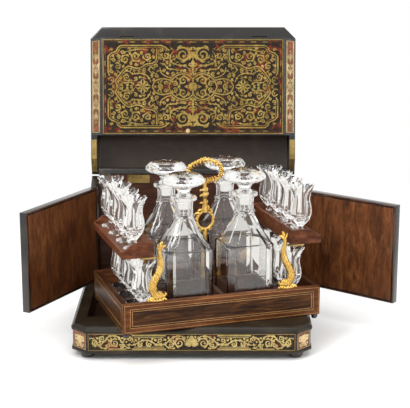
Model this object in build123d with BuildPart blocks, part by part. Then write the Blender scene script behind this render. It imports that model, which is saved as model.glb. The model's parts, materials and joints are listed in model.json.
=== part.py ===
"""Antique tantalus: a Boulle liqueur case with a lift-out tray of decanters and glasses.

Frame: the origin is the centre of the base's underside, +X to the right of
someone facing the case, +Y to the back, +Z up.  Sizes are in millimetres.
The case stands open: the lid is up, the flap is folded flat against it, the
doors are open and the tray stands askew on the rim of the base.
"""

import os
from math import cos, radians, sin

from build123d import *

os.makedirs("parts", exist_ok=True)

# ---------------------------------------------------------------- driving dimensions
running_gap = 0.3            # clearance beside pieces that move or lift out

# Base
base_width = 350.0
base_depth = 272.0
base_height = 40.2
base_cant = 21.6             # leg of the 45 degree cut at the two front corners
base_bead_height = 3.4       # plain bead round the foot of the base
base_bead_projection = 1.4
cornice_height = 8.6         # sloping moulding that ends in the rim
cornice_slope = 5.0
rim_side = 20.0
rim_front = 50.0
rim_rear = 36.0
base_floor_thickness = 4.0
foot_diameter = 22.0
foot_height = 10.0
foot_seat_diameter = 15.0
foot_inset_x = 23.0
foot_inset_y = 20.0

# Case above the base
case_width = 325.2
case_back_inset = 10.4       # from the rear of the base to the back of the case
case_height = 153.8          # from the rim of the base to the rim of the case
back_thickness = 12.6
lining_thickness = 8.5
side_thickness = 12.0
return_depth = 25.1
lip_thickness = 2.2
lip_height = 18.0
lip_inset = 8.0
lip_slope = 10.0
hinge_drop = 14.0            # from the hinge axis down to the rim of the case

# Lid
lid_open_angle = 100.55
lid_length = 234.0
lid_rise = 44.0              # from the hinge axis up to the top of the closed lid
lid_cant = 18.0
lid_wall = 9.6
lid_board = 7.0
lid_top_chamfer = 3.0
hinge_strip_width = 8.0
hinge_strip_thickness = 1.2
hinge_strip_length = 56.0

# Butt hinges, for the lid and for the flap
knuckle_radius = 2.2
knuckle_length = 7.4
leaf_thickness = 0.8
leaf_length = 20.0
hinge_cut_margin = 1.0       # round the knuckles, where the wood is cut away for them
lid_hinge_inset = 23.6       # from the side of the case to the middle of a hinge
flap_hinge_inset = 57.6
hinge_leaf_height = 14.0
lining_plate_inset = 76.1    # from the side of the case to the middle of the plate
lining_plate_width = 35.0
lining_plate_height = 13.0

# Flap
flap_height = 153.0
flap_depth = 18.0
flap_board = 9.0
flap_stile = 22.0
flap_top_rail = 9.0
keyhole_x = -8.0             # off the middle of the case
escutcheon_radius = 3.4
escutcheon_edge = 7.0        # from the free edge of the flap to the keyhole
lock_width = 36.0
lock_height = 20.0
lock_depth = 6.0

# Doors
door_length = 189.0
door_gap = 0.4               # above the rim, and below the rim of the case
door_left_open = 28.3
door_right_open = 52.0
door_pin_offset = 1.4        # pin axis outside the door's outer face
door_pin_radius = 1.35
door_return_gap = 0.5        # from the front of the case's side return to the pin axis
door_hinge_height = 16.0
door_hinge_inset = 14.0

# Tray
tray_length = 300.0
tray_depth = 180.0
tray_wall_height = 44.0
tray_wall = 8.0
tray_floor_thickness = 4.0
tray_corner_inset = 59.0     # from the left wall of the recess to the tray's front left corner
tray_corner_setback = 270.9  # from the lining to the same corner
tray_turn = 17.9
tray_foot_radius = 5.0
tray_foot_reach = 8.0
tray_foot_inset = 6.0

# Decanters and stoppers
decanter_width = 72.0
decanter_cant = 9.0
decanter_body_height = 106.0
decanter_shoulder_height = 44.0
decanter_wall = 5.0
decanter_base_thickness = 9.0
decanter_spacing_x = 93.0
decanter_spacing_y = 90.0
neck_radius = 12.5
neck_bore_radius = 8.5
neck_height = 24.0
neck_ring_radius = 16.0
neck_ring_height = 4.0
lip_ring_radius = 17.5
lip_ring_height = 6.0
stopper_radius = 31.0
stopper_height = 34.0
stopper_collar_radius = 11.5
stopper_collar_height = 2.5
stopper_neck_radius = 8.5
stopper_neck_height = 6.0      # heights of the stopper are above the decanter's lip
stopper_rim_low = 20.0
stopper_rim_high = 26.0
stopper_top_radius = 22.0
stopper_plug_length = 18.0

# Glasses
glass_height = 76.0
glass_rim_radius = 19.8
glass_wall = 1.7
glass_waist_radius = 13.9
glass_waist_height = 61.0
glass_belly_radius = 15.0
glass_belly_height = 42.0
glass_cup_radius = 13.2      # where the bowl starts to close in to the stem
glass_cup_height = 29.0
glass_floor_height = 23.0
glass_foot_width = 27.0
glass_foot_thickness = 3.0
glass_foot_corner = 6.0
glass_stem_radius = 4.2
glass_stem_height = 14.5
glass_stem_flare = 2.0
upper_glass_spacing = 44.0
lower_glass_spacing = 41.5
lower_glass_inset = 36.0     # from the end of the tray to the lower row

# Divider, racks and shelves
divider_thickness = 6.0
divider_height = 40.0
partition_thickness = 3.0
rack_height = 19.0
rack_board = 4.0
rack_leg = 6.0
shelf_width = 46.0
shelf_underside = 110.5      # above the underside of the tray
shelf_floor = 7.5
shelf_back_height = 21.0
shelf_wall = 4.0
shelf_end_board = 5.0
shelf_lip = 2.5
shelf_knee = 22.0

# Gilt mounts of the tray
dolphin_thickness = 7.5
dolphin_base_width = 30.0
dolphin_base_height = 3.0
dolphin_height = 88.0
dolphin_inset = 50.5         # from the end of the tray to the middle of the base
dolphin_head_out = 9.0       # offsets of the casting's outer side from the middle of its base
dolphin_belly_out = 10.0
dolphin_waist_in = 2.4
dolphin_tail_lean = 9.0
dolphin_belly_width = 14.5
dolphin_body_width = 9.0
dolphin_neck_width = 7.2
dolphin_tail_width = 6.0
dolphin_snout_setback = 2.0
dolphin_snout_height = 5.0
bracket_thickness = 2.5
bracket_length = 24.0
bracket_lug = 5.0            # cast on the dolphin's neck, the bracket strip meets it
post_radius = 4.0
post_ring_centre = 134.0     # above the underside of the tray
post_ring_radius = 15.5
post_ring_bar = 5.0
post_top = 189.0
handle_width = 60.0
handle_height = 40.0
handle_bar = 7.5
handle_thickness = 7.5

# ---------------------------------------------------------------- derived places
back_face_y = base_depth / 2 - case_back_inset
case_rim_z = base_height + case_height
hinge_axis_z = case_rim_z + hinge_drop
recess_front_y = -base_depth / 2 + rim_front
recess_rear_y = base_depth / 2 - rim_rear
recess_half_width = base_width / 2 - rim_side
panel_front_y = back_face_y - back_thickness
lining_front_y = panel_front_y - lining_thickness
door_pin_x = case_width / 2 + door_pin_offset
door_pin_y = back_face_y - return_depth - door_return_gap
lid_hinge_x = case_width / 2 - lid_hinge_inset
flap_hinge_x = case_width / 2 - flap_hinge_inset
lining_plate_x = -case_width / 2 + lining_plate_inset
tray_corner_x = -recess_half_width + tray_corner_inset
tray_corner_y = lining_front_y - tray_corner_setback
lid_front = -lid_length
lid_inner_front = lid_front + lid_cant
lid_rim = -hinge_drop
lid_angle = radians(lid_open_angle)

decanter_base = tray_floor_thickness
decanter_shoulder = decanter_base + decanter_body_height
decanter_neck_base = decanter_shoulder + decanter_shoulder_height
decanter_top = decanter_neck_base + neck_height + lip_ring_height
decanter_places = [
    (tray_length / 2 + side * decanter_spacing_x / 2, tray_depth / 2 + row * decanter_spacing_y / 2)
    for row in (-1, 1)
    for side in (-1, 1)
]
partition_x = tray_length / 2 - decanter_spacing_x / 2 - decanter_width / 2 - running_gap
rack_top = tray_floor_thickness + rack_height
shelf_top = shelf_underside + shelf_floor

# ---------------------------------------------------------------- frames of the moving parts
# The lid is drawn closed, with its hinge axis along X through the frame's origin.
lid_frame = Plane(
    origin=(0, back_face_y, hinge_axis_z),
    x_dir=(1, 0, 0),
    z_dir=(0, sin(lid_angle), cos(lid_angle)),
)
# The flap is drawn closed and upright, with its pivot along X through the frame's origin.
flap_pivot = lid_frame.from_local_coords(Vector(0, lid_inner_front, lid_rim))
flap_frame = Plane(
    origin=flap_pivot,
    x_dir=(1, 0, 0),
    z_dir=(0, -cos(lid_angle), sin(lid_angle)),
)
tray_frame = Plane(
    origin=(tray_corner_x, tray_corner_y, base_height),
    x_dir=(cos(radians(tray_turn)), sin(radians(tray_turn)), 0),
    z_dir=(0, 0, 1),
)


def door_frame(side, opening):
    """Frame on a door's pin.  side is -1 for the left door and 1 for the right one."""
    turn = radians(side * opening)
    return Plane(
        origin=(side * door_pin_x, door_pin_y, base_height),
        x_dir=(cos(turn), sin(turn), 0),
        z_dir=(0, 0, 1),
    )


def save(piece, name, frame=Plane.XY):
    """Place a finished piece by its frame, label it and write its STEP file."""
    placed = frame.location * piece.part
    placed.label = name
    export_step(placed, f"parts/{name}.step")


def canted_outline(width, front, rear, cant):
    """Draw a plan outline, inside a sketch, whose two front corners are cut at 45 degrees."""
    half = width / 2
    Polygon(
        (-half, rear),
        (-half, front + cant),
        (-half + cant, front),
        (half - cant, front),
        (half, front + cant),
        (half, rear),
        align=None,
    )


# ================================================================ the base
base_front_y = -base_depth / 2
base_rear_y = base_depth / 2
band_width = base_width - 2 * base_bead_projection
band_front_y = base_front_y + base_bead_projection
band_rear_y = base_rear_y - base_bead_projection
band_top_z = base_height - cornice_height

with BuildPart() as base_frame:
    with BuildSketch():
        canted_outline(base_width, base_front_y, base_rear_y, base_cant)
    extrude(amount=base_bead_height)
    with BuildSketch(Plane.XY.offset(base_bead_height)):
        canted_outline(band_width, band_front_y, band_rear_y, base_cant)
    extrude(amount=band_top_z - base_bead_height)
    with BuildSketch(Plane.XY.offset(band_top_z)):
        canted_outline(base_width, base_front_y, base_rear_y, base_cant)
    extrude(amount=cornice_height)
    chamfer(base_frame.faces().sort_by(Axis.Z)[-1].outer_wire().edges(), cornice_slope)
    with BuildSketch():
        with Locations((0, (recess_front_y + recess_rear_y) / 2)):
            Rectangle(2 * recess_half_width, recess_rear_y - recess_front_y)
    extrude(amount=base_height, mode=Mode.SUBTRACT)
save(base_frame, "base_frame")

with BuildPart() as base_floor:
    with BuildSketch():
        with Locations((0, (recess_front_y + recess_rear_y) / 2)):
            Rectangle(2 * recess_half_width, recess_rear_y - recess_front_y)
    extrude(amount=base_floor_thickness)
save(base_floor, "base_floor")

foot_x = base_width / 2 - foot_inset_x
foot_y = base_depth / 2 - foot_inset_y

with BuildPart() as bun_foot:
    with BuildSketch(Plane.XZ):
        with BuildLine():
            Polyline(
                (foot_seat_diameter / 2, 0),
                (0, 0),
                (0, -foot_height),
                (foot_seat_diameter / 2, -foot_height),
            )
            ThreePointArc(
                (foot_seat_diameter / 2, -foot_height),
                (foot_diameter / 2, -foot_height / 2),
                (foot_seat_diameter / 2, 0),
            )
        make_face()
    revolve(axis=Axis.Z)

with BuildPart() as bun_feet:
    with GridLocations(2 * foot_x, 2 * foot_y, 2, 2):
        add(bun_foot.part)
save(bun_feet, "bun_feet")

# ================================================================ back and side returns
return_front_y = back_face_y - return_depth
return_inner_x = case_width / 2 - side_thickness


with BuildPart() as back_panel:
    with Locations((0, back_face_y, base_height)):
        Box(case_width, back_thickness, case_height, align=(Align.CENTER, Align.MAX, Align.MIN))
    for side in (-1, 1):
        with BuildSketch(Plane.YZ.offset(side * (case_width - side_thickness) / 2)):
            with BuildLine():
                Polyline(
                    (return_front_y, base_height),
                    (back_face_y, base_height),
                    (back_face_y, hinge_axis_z - knuckle_radius),
                    (return_front_y, case_rim_z - knuckle_radius),
                    close=True,
                )
            make_face()
        extrude(amount=side_thickness / 2, both=True)
save(back_panel, "back_panel")

with BuildPart() as back_lining:
    lining_width = 2 * return_inner_x
    with Locations((0, lining_front_y, base_height)):
        Box(lining_width, lining_thickness, case_height, align=(Align.CENTER, Align.MIN, Align.MIN))
    with BuildSketch(Plane.XZ.offset(-lining_front_y)):
        with BuildLine():
            lip_half = lining_width / 2 - lip_inset
            Polyline(
                (-lip_half, case_rim_z),
                (-lip_half + lip_slope, case_rim_z + lip_height),
                (lip_half - lip_slope, case_rim_z + lip_height),
                (lip_half, case_rim_z),
                close=True,
            )
        make_face()
    extrude(amount=-lip_thickness)
save(back_lining, "back_lining")


# ================================================================ lid
def hinge_mitre(margin):
    """Draw the wedge that the lid loses above the sloping tops of the side returns."""
    Polygon(
        (-return_depth, lid_rim - margin),
        (-return_depth, lid_rim),
        (0, 0),
        (margin, 0),
        (margin, lid_rim - margin),
        align=None,
    )


with BuildPart() as lid_side_plates:
    for side in (-1, 1):
        with BuildSketch(Plane.YZ.offset(side * (case_width - lid_wall) / 2)):
            with BuildLine():
                Polyline(
                    (-hinge_strip_length, lid_rim),
                    (-return_depth, lid_rim),
                    (-2 * knuckle_radius, 2 * knuckle_radius * lid_rim / return_depth),
                    (-2 * knuckle_radius, 2 * knuckle_radius * lid_rim / return_depth + hinge_strip_thickness),
                    (-return_depth, lid_rim + hinge_strip_thickness),
                    (-hinge_strip_length, lid_rim + hinge_strip_thickness),
                    close=True,
                )
            make_face()
        extrude(amount=hinge_strip_width / 2, both=True)
save(lid_side_plates, "lid_side_plates", lid_frame)

with BuildPart() as lid_shell:
    with BuildSketch(Plane.XY.offset(lid_rim)):
        canted_outline(case_width, lid_front, 0, lid_cant)
    extrude(amount=hinge_drop + lid_rise)
    chamfer(lid_shell.faces().sort_by(Axis.Z)[-1].edges(), lid_top_chamfer)
    with BuildSketch(Plane.XY.offset(lid_rim)):
        with Locations((0, (lid_inner_front - lid_wall) / 2)):
            Rectangle(case_width - 2 * lid_wall, -lid_inner_front - lid_wall)
    extrude(amount=hinge_drop + lid_rise - lid_board, mode=Mode.SUBTRACT)
    for side in (-1, 1):
        with BuildSketch(Plane.YZ.offset(side * (case_width - side_thickness) / 2)):
            hinge_mitre(side_thickness)
        extrude(amount=side_thickness / 2 + running_gap, both=True, mode=Mode.SUBTRACT)
        with Locations(Location((side * lid_hinge_x, 0, 0), (0, 90, 0))):
            Cylinder(knuckle_radius + hinge_cut_margin, 3 * knuckle_length + 2 * hinge_cut_margin,
                     mode=Mode.SUBTRACT)
        with Locations(Location((side * flap_hinge_x, lid_inner_front, lid_rim), (0, 90, 0))):
            Cylinder(knuckle_radius + hinge_cut_margin, leaf_length + 2 * hinge_cut_margin, mode=Mode.SUBTRACT)
    add(lid_side_plates.part, mode=Mode.SUBTRACT)
save(lid_shell, "lid_shell", lid_frame)

with BuildPart() as lid_hinge_knuckles:
    for side in (-1, 1):
        for end in (-1, 1):
            knuckle_x = side * lid_hinge_x + end * (knuckle_length + running_gap)
            with Locations(Location((knuckle_x, 0, 0), (0, 90, 0))):
                Cylinder(knuckle_radius, knuckle_length)
            with Locations((knuckle_x, 0, 0)):
                Box(knuckle_length, leaf_thickness, hinge_leaf_height / 2,
                    align=(Align.CENTER, Align.MIN, Align.MIN))
        with Locations((side * lid_hinge_x, 0, hinge_leaf_height / 2)):
            Box(3 * knuckle_length + 2 * running_gap, leaf_thickness, hinge_leaf_height,
                align=(Align.CENTER, Align.MIN, Align.MIN))
save(lid_hinge_knuckles, "lid_hinge_knuckles", lid_frame)

with BuildPart() as case_hinge_leaves:
    for side in (-1, 1):
        with Locations(Location((side * lid_hinge_x, back_face_y, hinge_axis_z), (0, 90, 0))):
            Cylinder(knuckle_radius, knuckle_length)
        with Locations((side * lid_hinge_x, back_face_y, hinge_axis_z)):
            Box(knuckle_length, leaf_thickness, hinge_drop + 1, align=(Align.CENTER, Align.MIN, Align.MAX))
        with Locations((side * lid_hinge_x, back_face_y, case_rim_z)):
            Box(3 * knuckle_length, leaf_thickness, hinge_leaf_height,
                align=(Align.CENTER, Align.MIN, Align.MAX))
    with Locations((lining_plate_x, lining_front_y, case_rim_z + lip_height)):
        Box(lining_plate_width, leaf_thickness, lining_plate_height,
            align=(Align.CENTER, Align.MAX, Align.MAX))
save(case_hinge_leaves, "case_hinge_leaves")

# ================================================================ flap
flap_front_half = case_width / 2 - flap_depth
flap_board_rear = -flap_depth + flap_board
with BuildPart() as flap:
    with BuildSketch():
        Polygon(
            (-flap_front_half, -flap_depth),
            (flap_front_half, -flap_depth),
            (flap_front_half + flap_board, flap_board_rear),
            (-flap_front_half - flap_board, flap_board_rear),
            align=None,
        )
    extrude(amount=-flap_height)
save(flap, "flap", flap_frame)

with BuildPart() as flap_stiles:
    with BuildSketch():
        for side in (-1, 1):
            Polygon(
                (side * (case_width / 2 - flap_stile), flap_board_rear),
                (side * (flap_front_half + flap_board), flap_board_rear),
                (side * case_width / 2, 0),
                (side * (case_width / 2 - flap_stile), 0),
                align=None,
            )
    extrude(amount=-flap_height)
save(flap_stiles, "flap_stiles", flap_frame)

with BuildPart() as flap_rail:
    Box(case_width - 2 * flap_stile, -flap_board_rear, flap_top_rail, align=(Align.CENTER, Align.MAX, Align.MAX))
    for side in (-1, 1):
        with Locations(Location((side * flap_hinge_x, 0, 0), (0, 90, 0))):
            Cylinder(knuckle_radius + hinge_cut_margin, leaf_length + 2 * hinge_cut_margin, mode=Mode.SUBTRACT)
save(flap_rail, "flap_rail", flap_frame)

with BuildPart() as flap_hinges:
    for side in (-1, 1):
        with Locations(Location((side * flap_hinge_x, 0, 0), (0, 90, 0))):
            Cylinder(knuckle_radius, leaf_length)
        with Locations((side * flap_hinge_x, 0, 0)):
            Box(leaf_length, leaf_thickness, flap_top_rail, align=(Align.CENTER, Align.MIN, Align.MAX))
save(flap_hinges, "flap_hinges", flap_frame)

with BuildPart() as flap_escutcheon:
    keyhole_z = -flap_height + escutcheon_edge
    with Locations(Location((keyhole_x, -flap_depth - leaf_thickness / 2, keyhole_z), (90, 0, 0))):
        Cylinder(escutcheon_radius, leaf_thickness)
save(flap_escutcheon, "flap_escutcheon", flap_frame)

with BuildPart() as flap_lock:
    with Locations((keyhole_x, -flap_depth + flap_board, -flap_height + running_gap)):
        Box(lock_width, lock_depth, lock_height, align=(Align.CENTER, Align.MIN, Align.MIN))
save(flap_lock, "flap_lock", flap_frame)

# ================================================================ doors
for side, name, opening in ((-1, "door_left", door_left_open), (1, "door_right", door_right_open)):
    frame = door_frame(side, opening)
    with BuildPart() as door:
        with Locations((-side * (door_pin_offset + side_thickness / 2), 0, door_gap)):
            Box(side_thickness, door_length, case_height - 2 * door_gap,
                align=(Align.CENTER, Align.MAX, Align.MIN))
    save(door, name, frame)

    with BuildPart() as door_hinges:
        for height in (door_hinge_inset, case_height - door_hinge_inset - door_hinge_height):
            with Locations((0, 0, height)):
                Cylinder(door_pin_radius, door_hinge_height,
                         align=(Align.CENTER, Align.CENTER, Align.MIN))
            with Locations((-side * (door_pin_offset - leaf_thickness / 2), 0, height)):
                Box(leaf_thickness, hinge_leaf_height, door_hinge_height,
                    align=(Align.CENTER, Align.MAX, Align.MIN))
    save(door_hinges, f"{name}_hinges", frame)

# ================================================================ tray
for name, edge_y in (("tray_front", 0), ("tray_back", tray_depth - tray_wall)):
    with BuildPart() as tray_long_wall:
        with Locations((0, edge_y, 0)):
            Box(tray_length, tray_wall, tray_wall_height, align=Align.MIN)
    save(tray_long_wall, name, tray_frame)

for name, edge_x in (("tray_left", 0), ("tray_right", tray_length - tray_wall)):
    with BuildPart() as tray_short_wall:
        with Locations((edge_x, tray_wall, 0)):
            Box(tray_wall, tray_depth - 2 * tray_wall, tray_wall_height, align=Align.MIN)
    save(tray_short_wall, name, tray_frame)

with BuildPart() as tray_floor:
    with Locations((tray_wall, tray_wall, 0)):
        Box(tray_length - 2 * tray_wall, tray_depth - 2 * tray_wall, tray_floor_thickness, align=Align.MIN)
save(tray_floor, "tray_floor", tray_frame)

with BuildPart() as tray_feet:
    with Locations((tray_length / 2, tray_depth / 2, tray_foot_radius - tray_foot_reach)):
        with GridLocations(tray_length - 2 * tray_foot_inset, tray_depth - 2 * tray_foot_inset, 2, 2):
            Sphere(tray_foot_radius)
    split(bisect_by=Plane.XY, keep=Keep.BOTTOM)
save(tray_feet, "tray_feet", tray_frame)

# The decanters stand between a long board, a short board to each side of it and two partitions.
inner_depth = tray_depth - 2 * tray_wall
partition_step = tray_length - 2 * partition_x + partition_thickness
short_board_length = (tray_length - divider_thickness) / 2 - partition_x

with BuildPart() as bottle_divider:
    with Locations((tray_length / 2, tray_depth / 2, tray_floor_thickness)):
        Box(divider_thickness, inner_depth, divider_height, align=(Align.CENTER, Align.CENTER, Align.MIN))
save(bottle_divider, "bottle_divider", tray_frame)

with BuildPart() as divider_short_boards:
    with Locations((tray_length / 2, tray_depth / 2, tray_floor_thickness)):
        with GridLocations(short_board_length + divider_thickness, 0, 2, 1):
            Box(short_board_length, divider_thickness, divider_height,
                align=(Align.CENTER, Align.CENTER, Align.MIN))
save(divider_short_boards, "divider_short_boards", tray_frame)

with BuildPart() as tray_partitions:
    with Locations((tray_length / 2, tray_depth / 2, tray_floor_thickness)):
        with GridLocations(partition_step, 0, 2, 1):
            Box(partition_thickness, inner_depth, divider_height,
                align=(Align.CENTER, Align.CENTER, Align.MIN))
save(tray_partitions, "tray_partitions", tray_frame)

# ---------------------------------------------------------------- racks and shelves
rack_width = partition_x - partition_thickness - tray_wall
for name, rack_x in (("lower_rack_left", tray_wall), ("lower_rack_right", tray_length - tray_wall - rack_width)):
    with BuildPart() as rack:
        with Locations((rack_x, tray_wall, rack_top)):
            Box(rack_width, inner_depth, rack_board, align=(Align.MIN, Align.MIN, Align.MAX))
        for leg_x in (rack_x, rack_x + rack_width - rack_leg):
            with Locations((leg_x, tray_wall, tray_floor_thickness)):
                Box(rack_leg, inner_depth, rack_height - rack_board, align=Align.MIN)
    save(rack, name, tray_frame)


shelf_back_top = shelf_underside + shelf_back_height
shelf_lip_top = shelf_top + shelf_lip

for name, end in (("shelf_left", 1), ("shelf_right", -1)):
    with BuildPart() as shelf:
        with BuildSketch(Plane.XZ):
            with BuildLine():
                Polyline(
                    (0, shelf_lip_top),
                    (0, shelf_underside),
                    (shelf_width, shelf_underside),
                    (shelf_width, shelf_back_top),
                    (shelf_knee, shelf_back_top),
                )
                Spline(
                    (shelf_knee, shelf_back_top),
                    (0, shelf_lip_top),
                    tangents=((-1, 0), (-1, -0.35)),
                )
            make_face()
        extrude(amount=-tray_depth)
        with Locations((0, shelf_end_board, shelf_top)):
            Box(shelf_width - shelf_wall, tray_depth - 2 * shelf_end_board, shelf_back_height,
                align=Align.MIN, mode=Mode.SUBTRACT)
        with Locations((0, shelf_end_board, shelf_top)):
            Box(partition_thickness, tray_depth - 2 * shelf_end_board, shelf_lip, align=Align.MIN)
        if end < 0:
            mirror(about=Plane.YZ.offset(tray_length / 2), mode=Mode.REPLACE)
    save(shelf, name, tray_frame)

# ---------------------------------------------------------------- gilt mounts
for number, (end, wall_y) in enumerate(
    ((end, wall_y) for wall_y in (0, tray_depth - tray_wall) for end in (1, -1))
):
    name = ("dolphin_front_left", "dolphin_front_right", "dolphin_rear_left", "dolphin_rear_right")[number]
    base_z = tray_wall_height + dolphin_base_height
    with BuildPart() as dolphin:
        with Locations((dolphin_inset, wall_y + tray_wall / 2, tray_wall_height)):
            Box(dolphin_base_width, dolphin_thickness, dolphin_base_height,
                align=(Align.CENTER, Align.CENTER, Align.MIN))
        with BuildSketch(Plane.XZ.offset(-wall_y - tray_wall / 2)):
            with BuildLine():
                head = dolphin_inset - dolphin_head_out
                belly = dolphin_inset - dolphin_belly_out
                waist = dolphin_inset + dolphin_waist_in
                tail = dolphin_inset + dolphin_tail_lean
                snout = dolphin_inset + dolphin_base_width / 2 - dolphin_snout_setback
                snout_z = base_z + dolphin_snout_height
                belly_z = base_z + 0.2 * dolphin_height
                waist_z = base_z + 0.45 * dolphin_height
                neck_z = base_z + 0.75 * dolphin_height
                tail_z = base_z + dolphin_height - dolphin_base_height
                Line((snout, base_z), (head, base_z))
                Spline((head, base_z), (belly, belly_z), (waist, waist_z), (waist, neck_z), (tail, tail_z))
                Line((tail, tail_z), (tail + dolphin_tail_width, tail_z - dolphin_base_height))
                Spline(
                    (tail + dolphin_tail_width, tail_z - dolphin_base_height),
                    (waist + dolphin_neck_width, neck_z),
                    (waist + dolphin_body_width, waist_z),
                    (belly + dolphin_belly_width, belly_z),
                    (snout, snout_z),
                )
                Line((snout, snout_z), (snout, base_z))
            make_face()
        extrude(amount=dolphin_thickness / 2, both=True)
        with Locations((dolphin_inset, wall_y + tray_wall / 2, shelf_underside)):
            Box(bracket_lug, dolphin_thickness, bracket_thickness,
                align=(Align.MIN, Align.CENTER, Align.MAX))
        if end < 0:
            mirror(about=Plane.YZ.offset(tray_length / 2), mode=Mode.REPLACE)
    save(dolphin, name, tray_frame)

with BuildPart() as shelf_brackets:
    with Locations((tray_length / 2, tray_depth / 2, shelf_underside)):
        with GridLocations(tray_length - 2 * dolphin_inset + bracket_length, tray_depth - tray_wall, 2, 2):
            Box(bracket_length, dolphin_thickness, bracket_thickness,
                align=(Align.CENTER, Align.CENTER, Align.MAX))
save(shelf_brackets, "shelf_brackets", tray_frame)

tray_middle = Plane(
    origin=(tray_length / 2, tray_depth / 2, 0), x_dir=(1, 0, 0), z_dir=(0, -1, 0)
)

with BuildPart() as handle_post:
    with BuildSketch(tray_middle):
        with Locations((0, post_ring_centre)):
            Circle(post_ring_radius)
            Circle(post_ring_radius - post_ring_bar, mode=Mode.SUBTRACT)
    extrude(amount=post_radius, both=True)
    post_foot_z = tray_floor_thickness + divider_height
    with Locations((tray_length / 2, tray_depth / 2, post_foot_z)):
        Cylinder(post_radius, post_ring_centre - post_ring_radius + post_ring_bar / 2 - post_foot_z,
                 align=(Align.CENTER, Align.CENTER, Align.MIN))
    with Locations((tray_length / 2, tray_depth / 2, post_top)):
        Cylinder(post_radius, post_top - post_ring_centre - post_ring_radius + post_ring_bar / 2,
                 align=(Align.CENTER, Align.CENTER, Align.MAX))
save(handle_post, "handle_post", tray_frame)

with BuildPart() as carry_handle:
    with BuildSketch(tray_middle):
        with Locations((0, post_top + handle_height / 2)):
            Ellipse(handle_width / 2, handle_height / 2)
            Ellipse(handle_width / 2 - handle_bar, handle_height / 2 - handle_bar, mode=Mode.SUBTRACT)
    extrude(amount=handle_thickness / 2, both=True)
    with Locations((tray_length / 2, tray_depth / 2, post_top)):
        Cylinder(post_radius, handle_bar / 2, align=(Align.CENTER, Align.CENTER, Align.MIN))
save(carry_handle, "carry_handle", tray_frame)


# ================================================================ decanters and stoppers
def canted_square(width, cant):
    """Close a square outline, inside a sketch, with all four corners cut at 45 degrees."""
    rectangle = Rectangle(width, width)
    chamfer(rectangle.vertices(), cant)


def decanter(x, y):
    """A square decanter with cut corners, hollow down to its thick base."""
    octagon_cant = (2 - 2 ** 0.5) / 2
    outer_neck = 2 * neck_radius
    inner_width = decanter_width - 2 * decanter_wall
    inner_neck = 2 * neck_bore_radius
    with BuildPart() as bottle:
        with BuildSketch(Plane.XY.offset(decanter_base)):
            with Locations((x, y)):
                canted_square(decanter_width, decanter_cant)
        extrude(amount=decanter_body_height)
        with BuildSketch(Plane.XY.offset(decanter_shoulder)):
            with Locations((x, y)):
                canted_square(decanter_width, decanter_cant)
        with BuildSketch(Plane.XY.offset(decanter_neck_base)):
            with Locations((x, y)):
                canted_square(outer_neck, outer_neck * octagon_cant)
        loft(ruled=True)
        with Locations((x, y, decanter_neck_base)):
            Cylinder(neck_ring_radius, neck_ring_height, align=(Align.CENTER, Align.CENTER, Align.MIN))
            Cylinder(neck_radius, neck_height, align=(Align.CENTER, Align.CENTER, Align.MIN))
        with Locations((x, y, decanter_top)):
            Cylinder(lip_ring_radius, lip_ring_height, align=(Align.CENTER, Align.CENTER, Align.MAX))
        with BuildSketch(Plane.XY.offset(decanter_base + decanter_base_thickness)):
            with Locations((x, y)):
                canted_square(inner_width, decanter_cant)
        extrude(amount=decanter_body_height - decanter_base_thickness, mode=Mode.SUBTRACT)
        with BuildSketch(Plane.XY.offset(decanter_shoulder)):
            with Locations((x, y)):
                canted_square(inner_width, decanter_cant)
        with BuildSketch(Plane.XY.offset(decanter_neck_base)):
            with Locations((x, y)):
                canted_square(inner_neck, inner_neck * octagon_cant)
        loft(ruled=True, mode=Mode.SUBTRACT)
        with Locations((x, y, decanter_top)):
            Cylinder(neck_bore_radius, neck_height + lip_ring_height,
                     align=(Align.CENTER, Align.CENTER, Align.MAX), mode=Mode.SUBTRACT)
    return bottle


def stopper(x, y):
    """A mushroom stopper: a plug, a collar on the decanter's lip, a thin neck and a wide flat head."""
    plug_radius = neck_bore_radius - running_gap
    plug_foot = decanter_top - stopper_plug_length
    collar_z = decanter_top + stopper_collar_height
    neck_z = decanter_top + stopper_neck_height
    rim_low_z = decanter_top + stopper_rim_low
    rim_high_z = decanter_top + stopper_rim_high
    top_z = decanter_top + stopper_height
    with BuildPart() as mushroom:
        with BuildSketch(Plane(origin=(x, y, 0), x_dir=(1, 0, 0), z_dir=(0, -1, 0))):
            with BuildLine():
                Polyline(
                    (0, top_z),
                    (0, plug_foot),
                    (plug_radius, plug_foot),
                    (plug_radius, decanter_top),
                    (stopper_collar_radius, decanter_top),
                    (stopper_collar_radius, collar_z),
                    (stopper_neck_radius, neck_z),
                )
                Spline(
                    (stopper_neck_radius, neck_z),
                    (stopper_radius, rim_low_z),
                    tangents=((0, 1), (1, 0.3)),
                )
                Polyline(
                    (stopper_radius, rim_low_z),
                    (stopper_radius, rim_high_z),
                    (stopper_top_radius, top_z),
                    (0, top_z),
                )
            make_face()
        revolve(axis=Axis((x, y, 0), (0, 0, 1)))
    return mushroom


corner_names = ("front_left", "front_right", "rear_left", "rear_right")
for corner, place in zip(corner_names, decanter_places):
    save(decanter(*place), f"decanter_{corner}", tray_frame)
    save(stopper(*place), f"stopper_{corner}", tray_frame)


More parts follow.
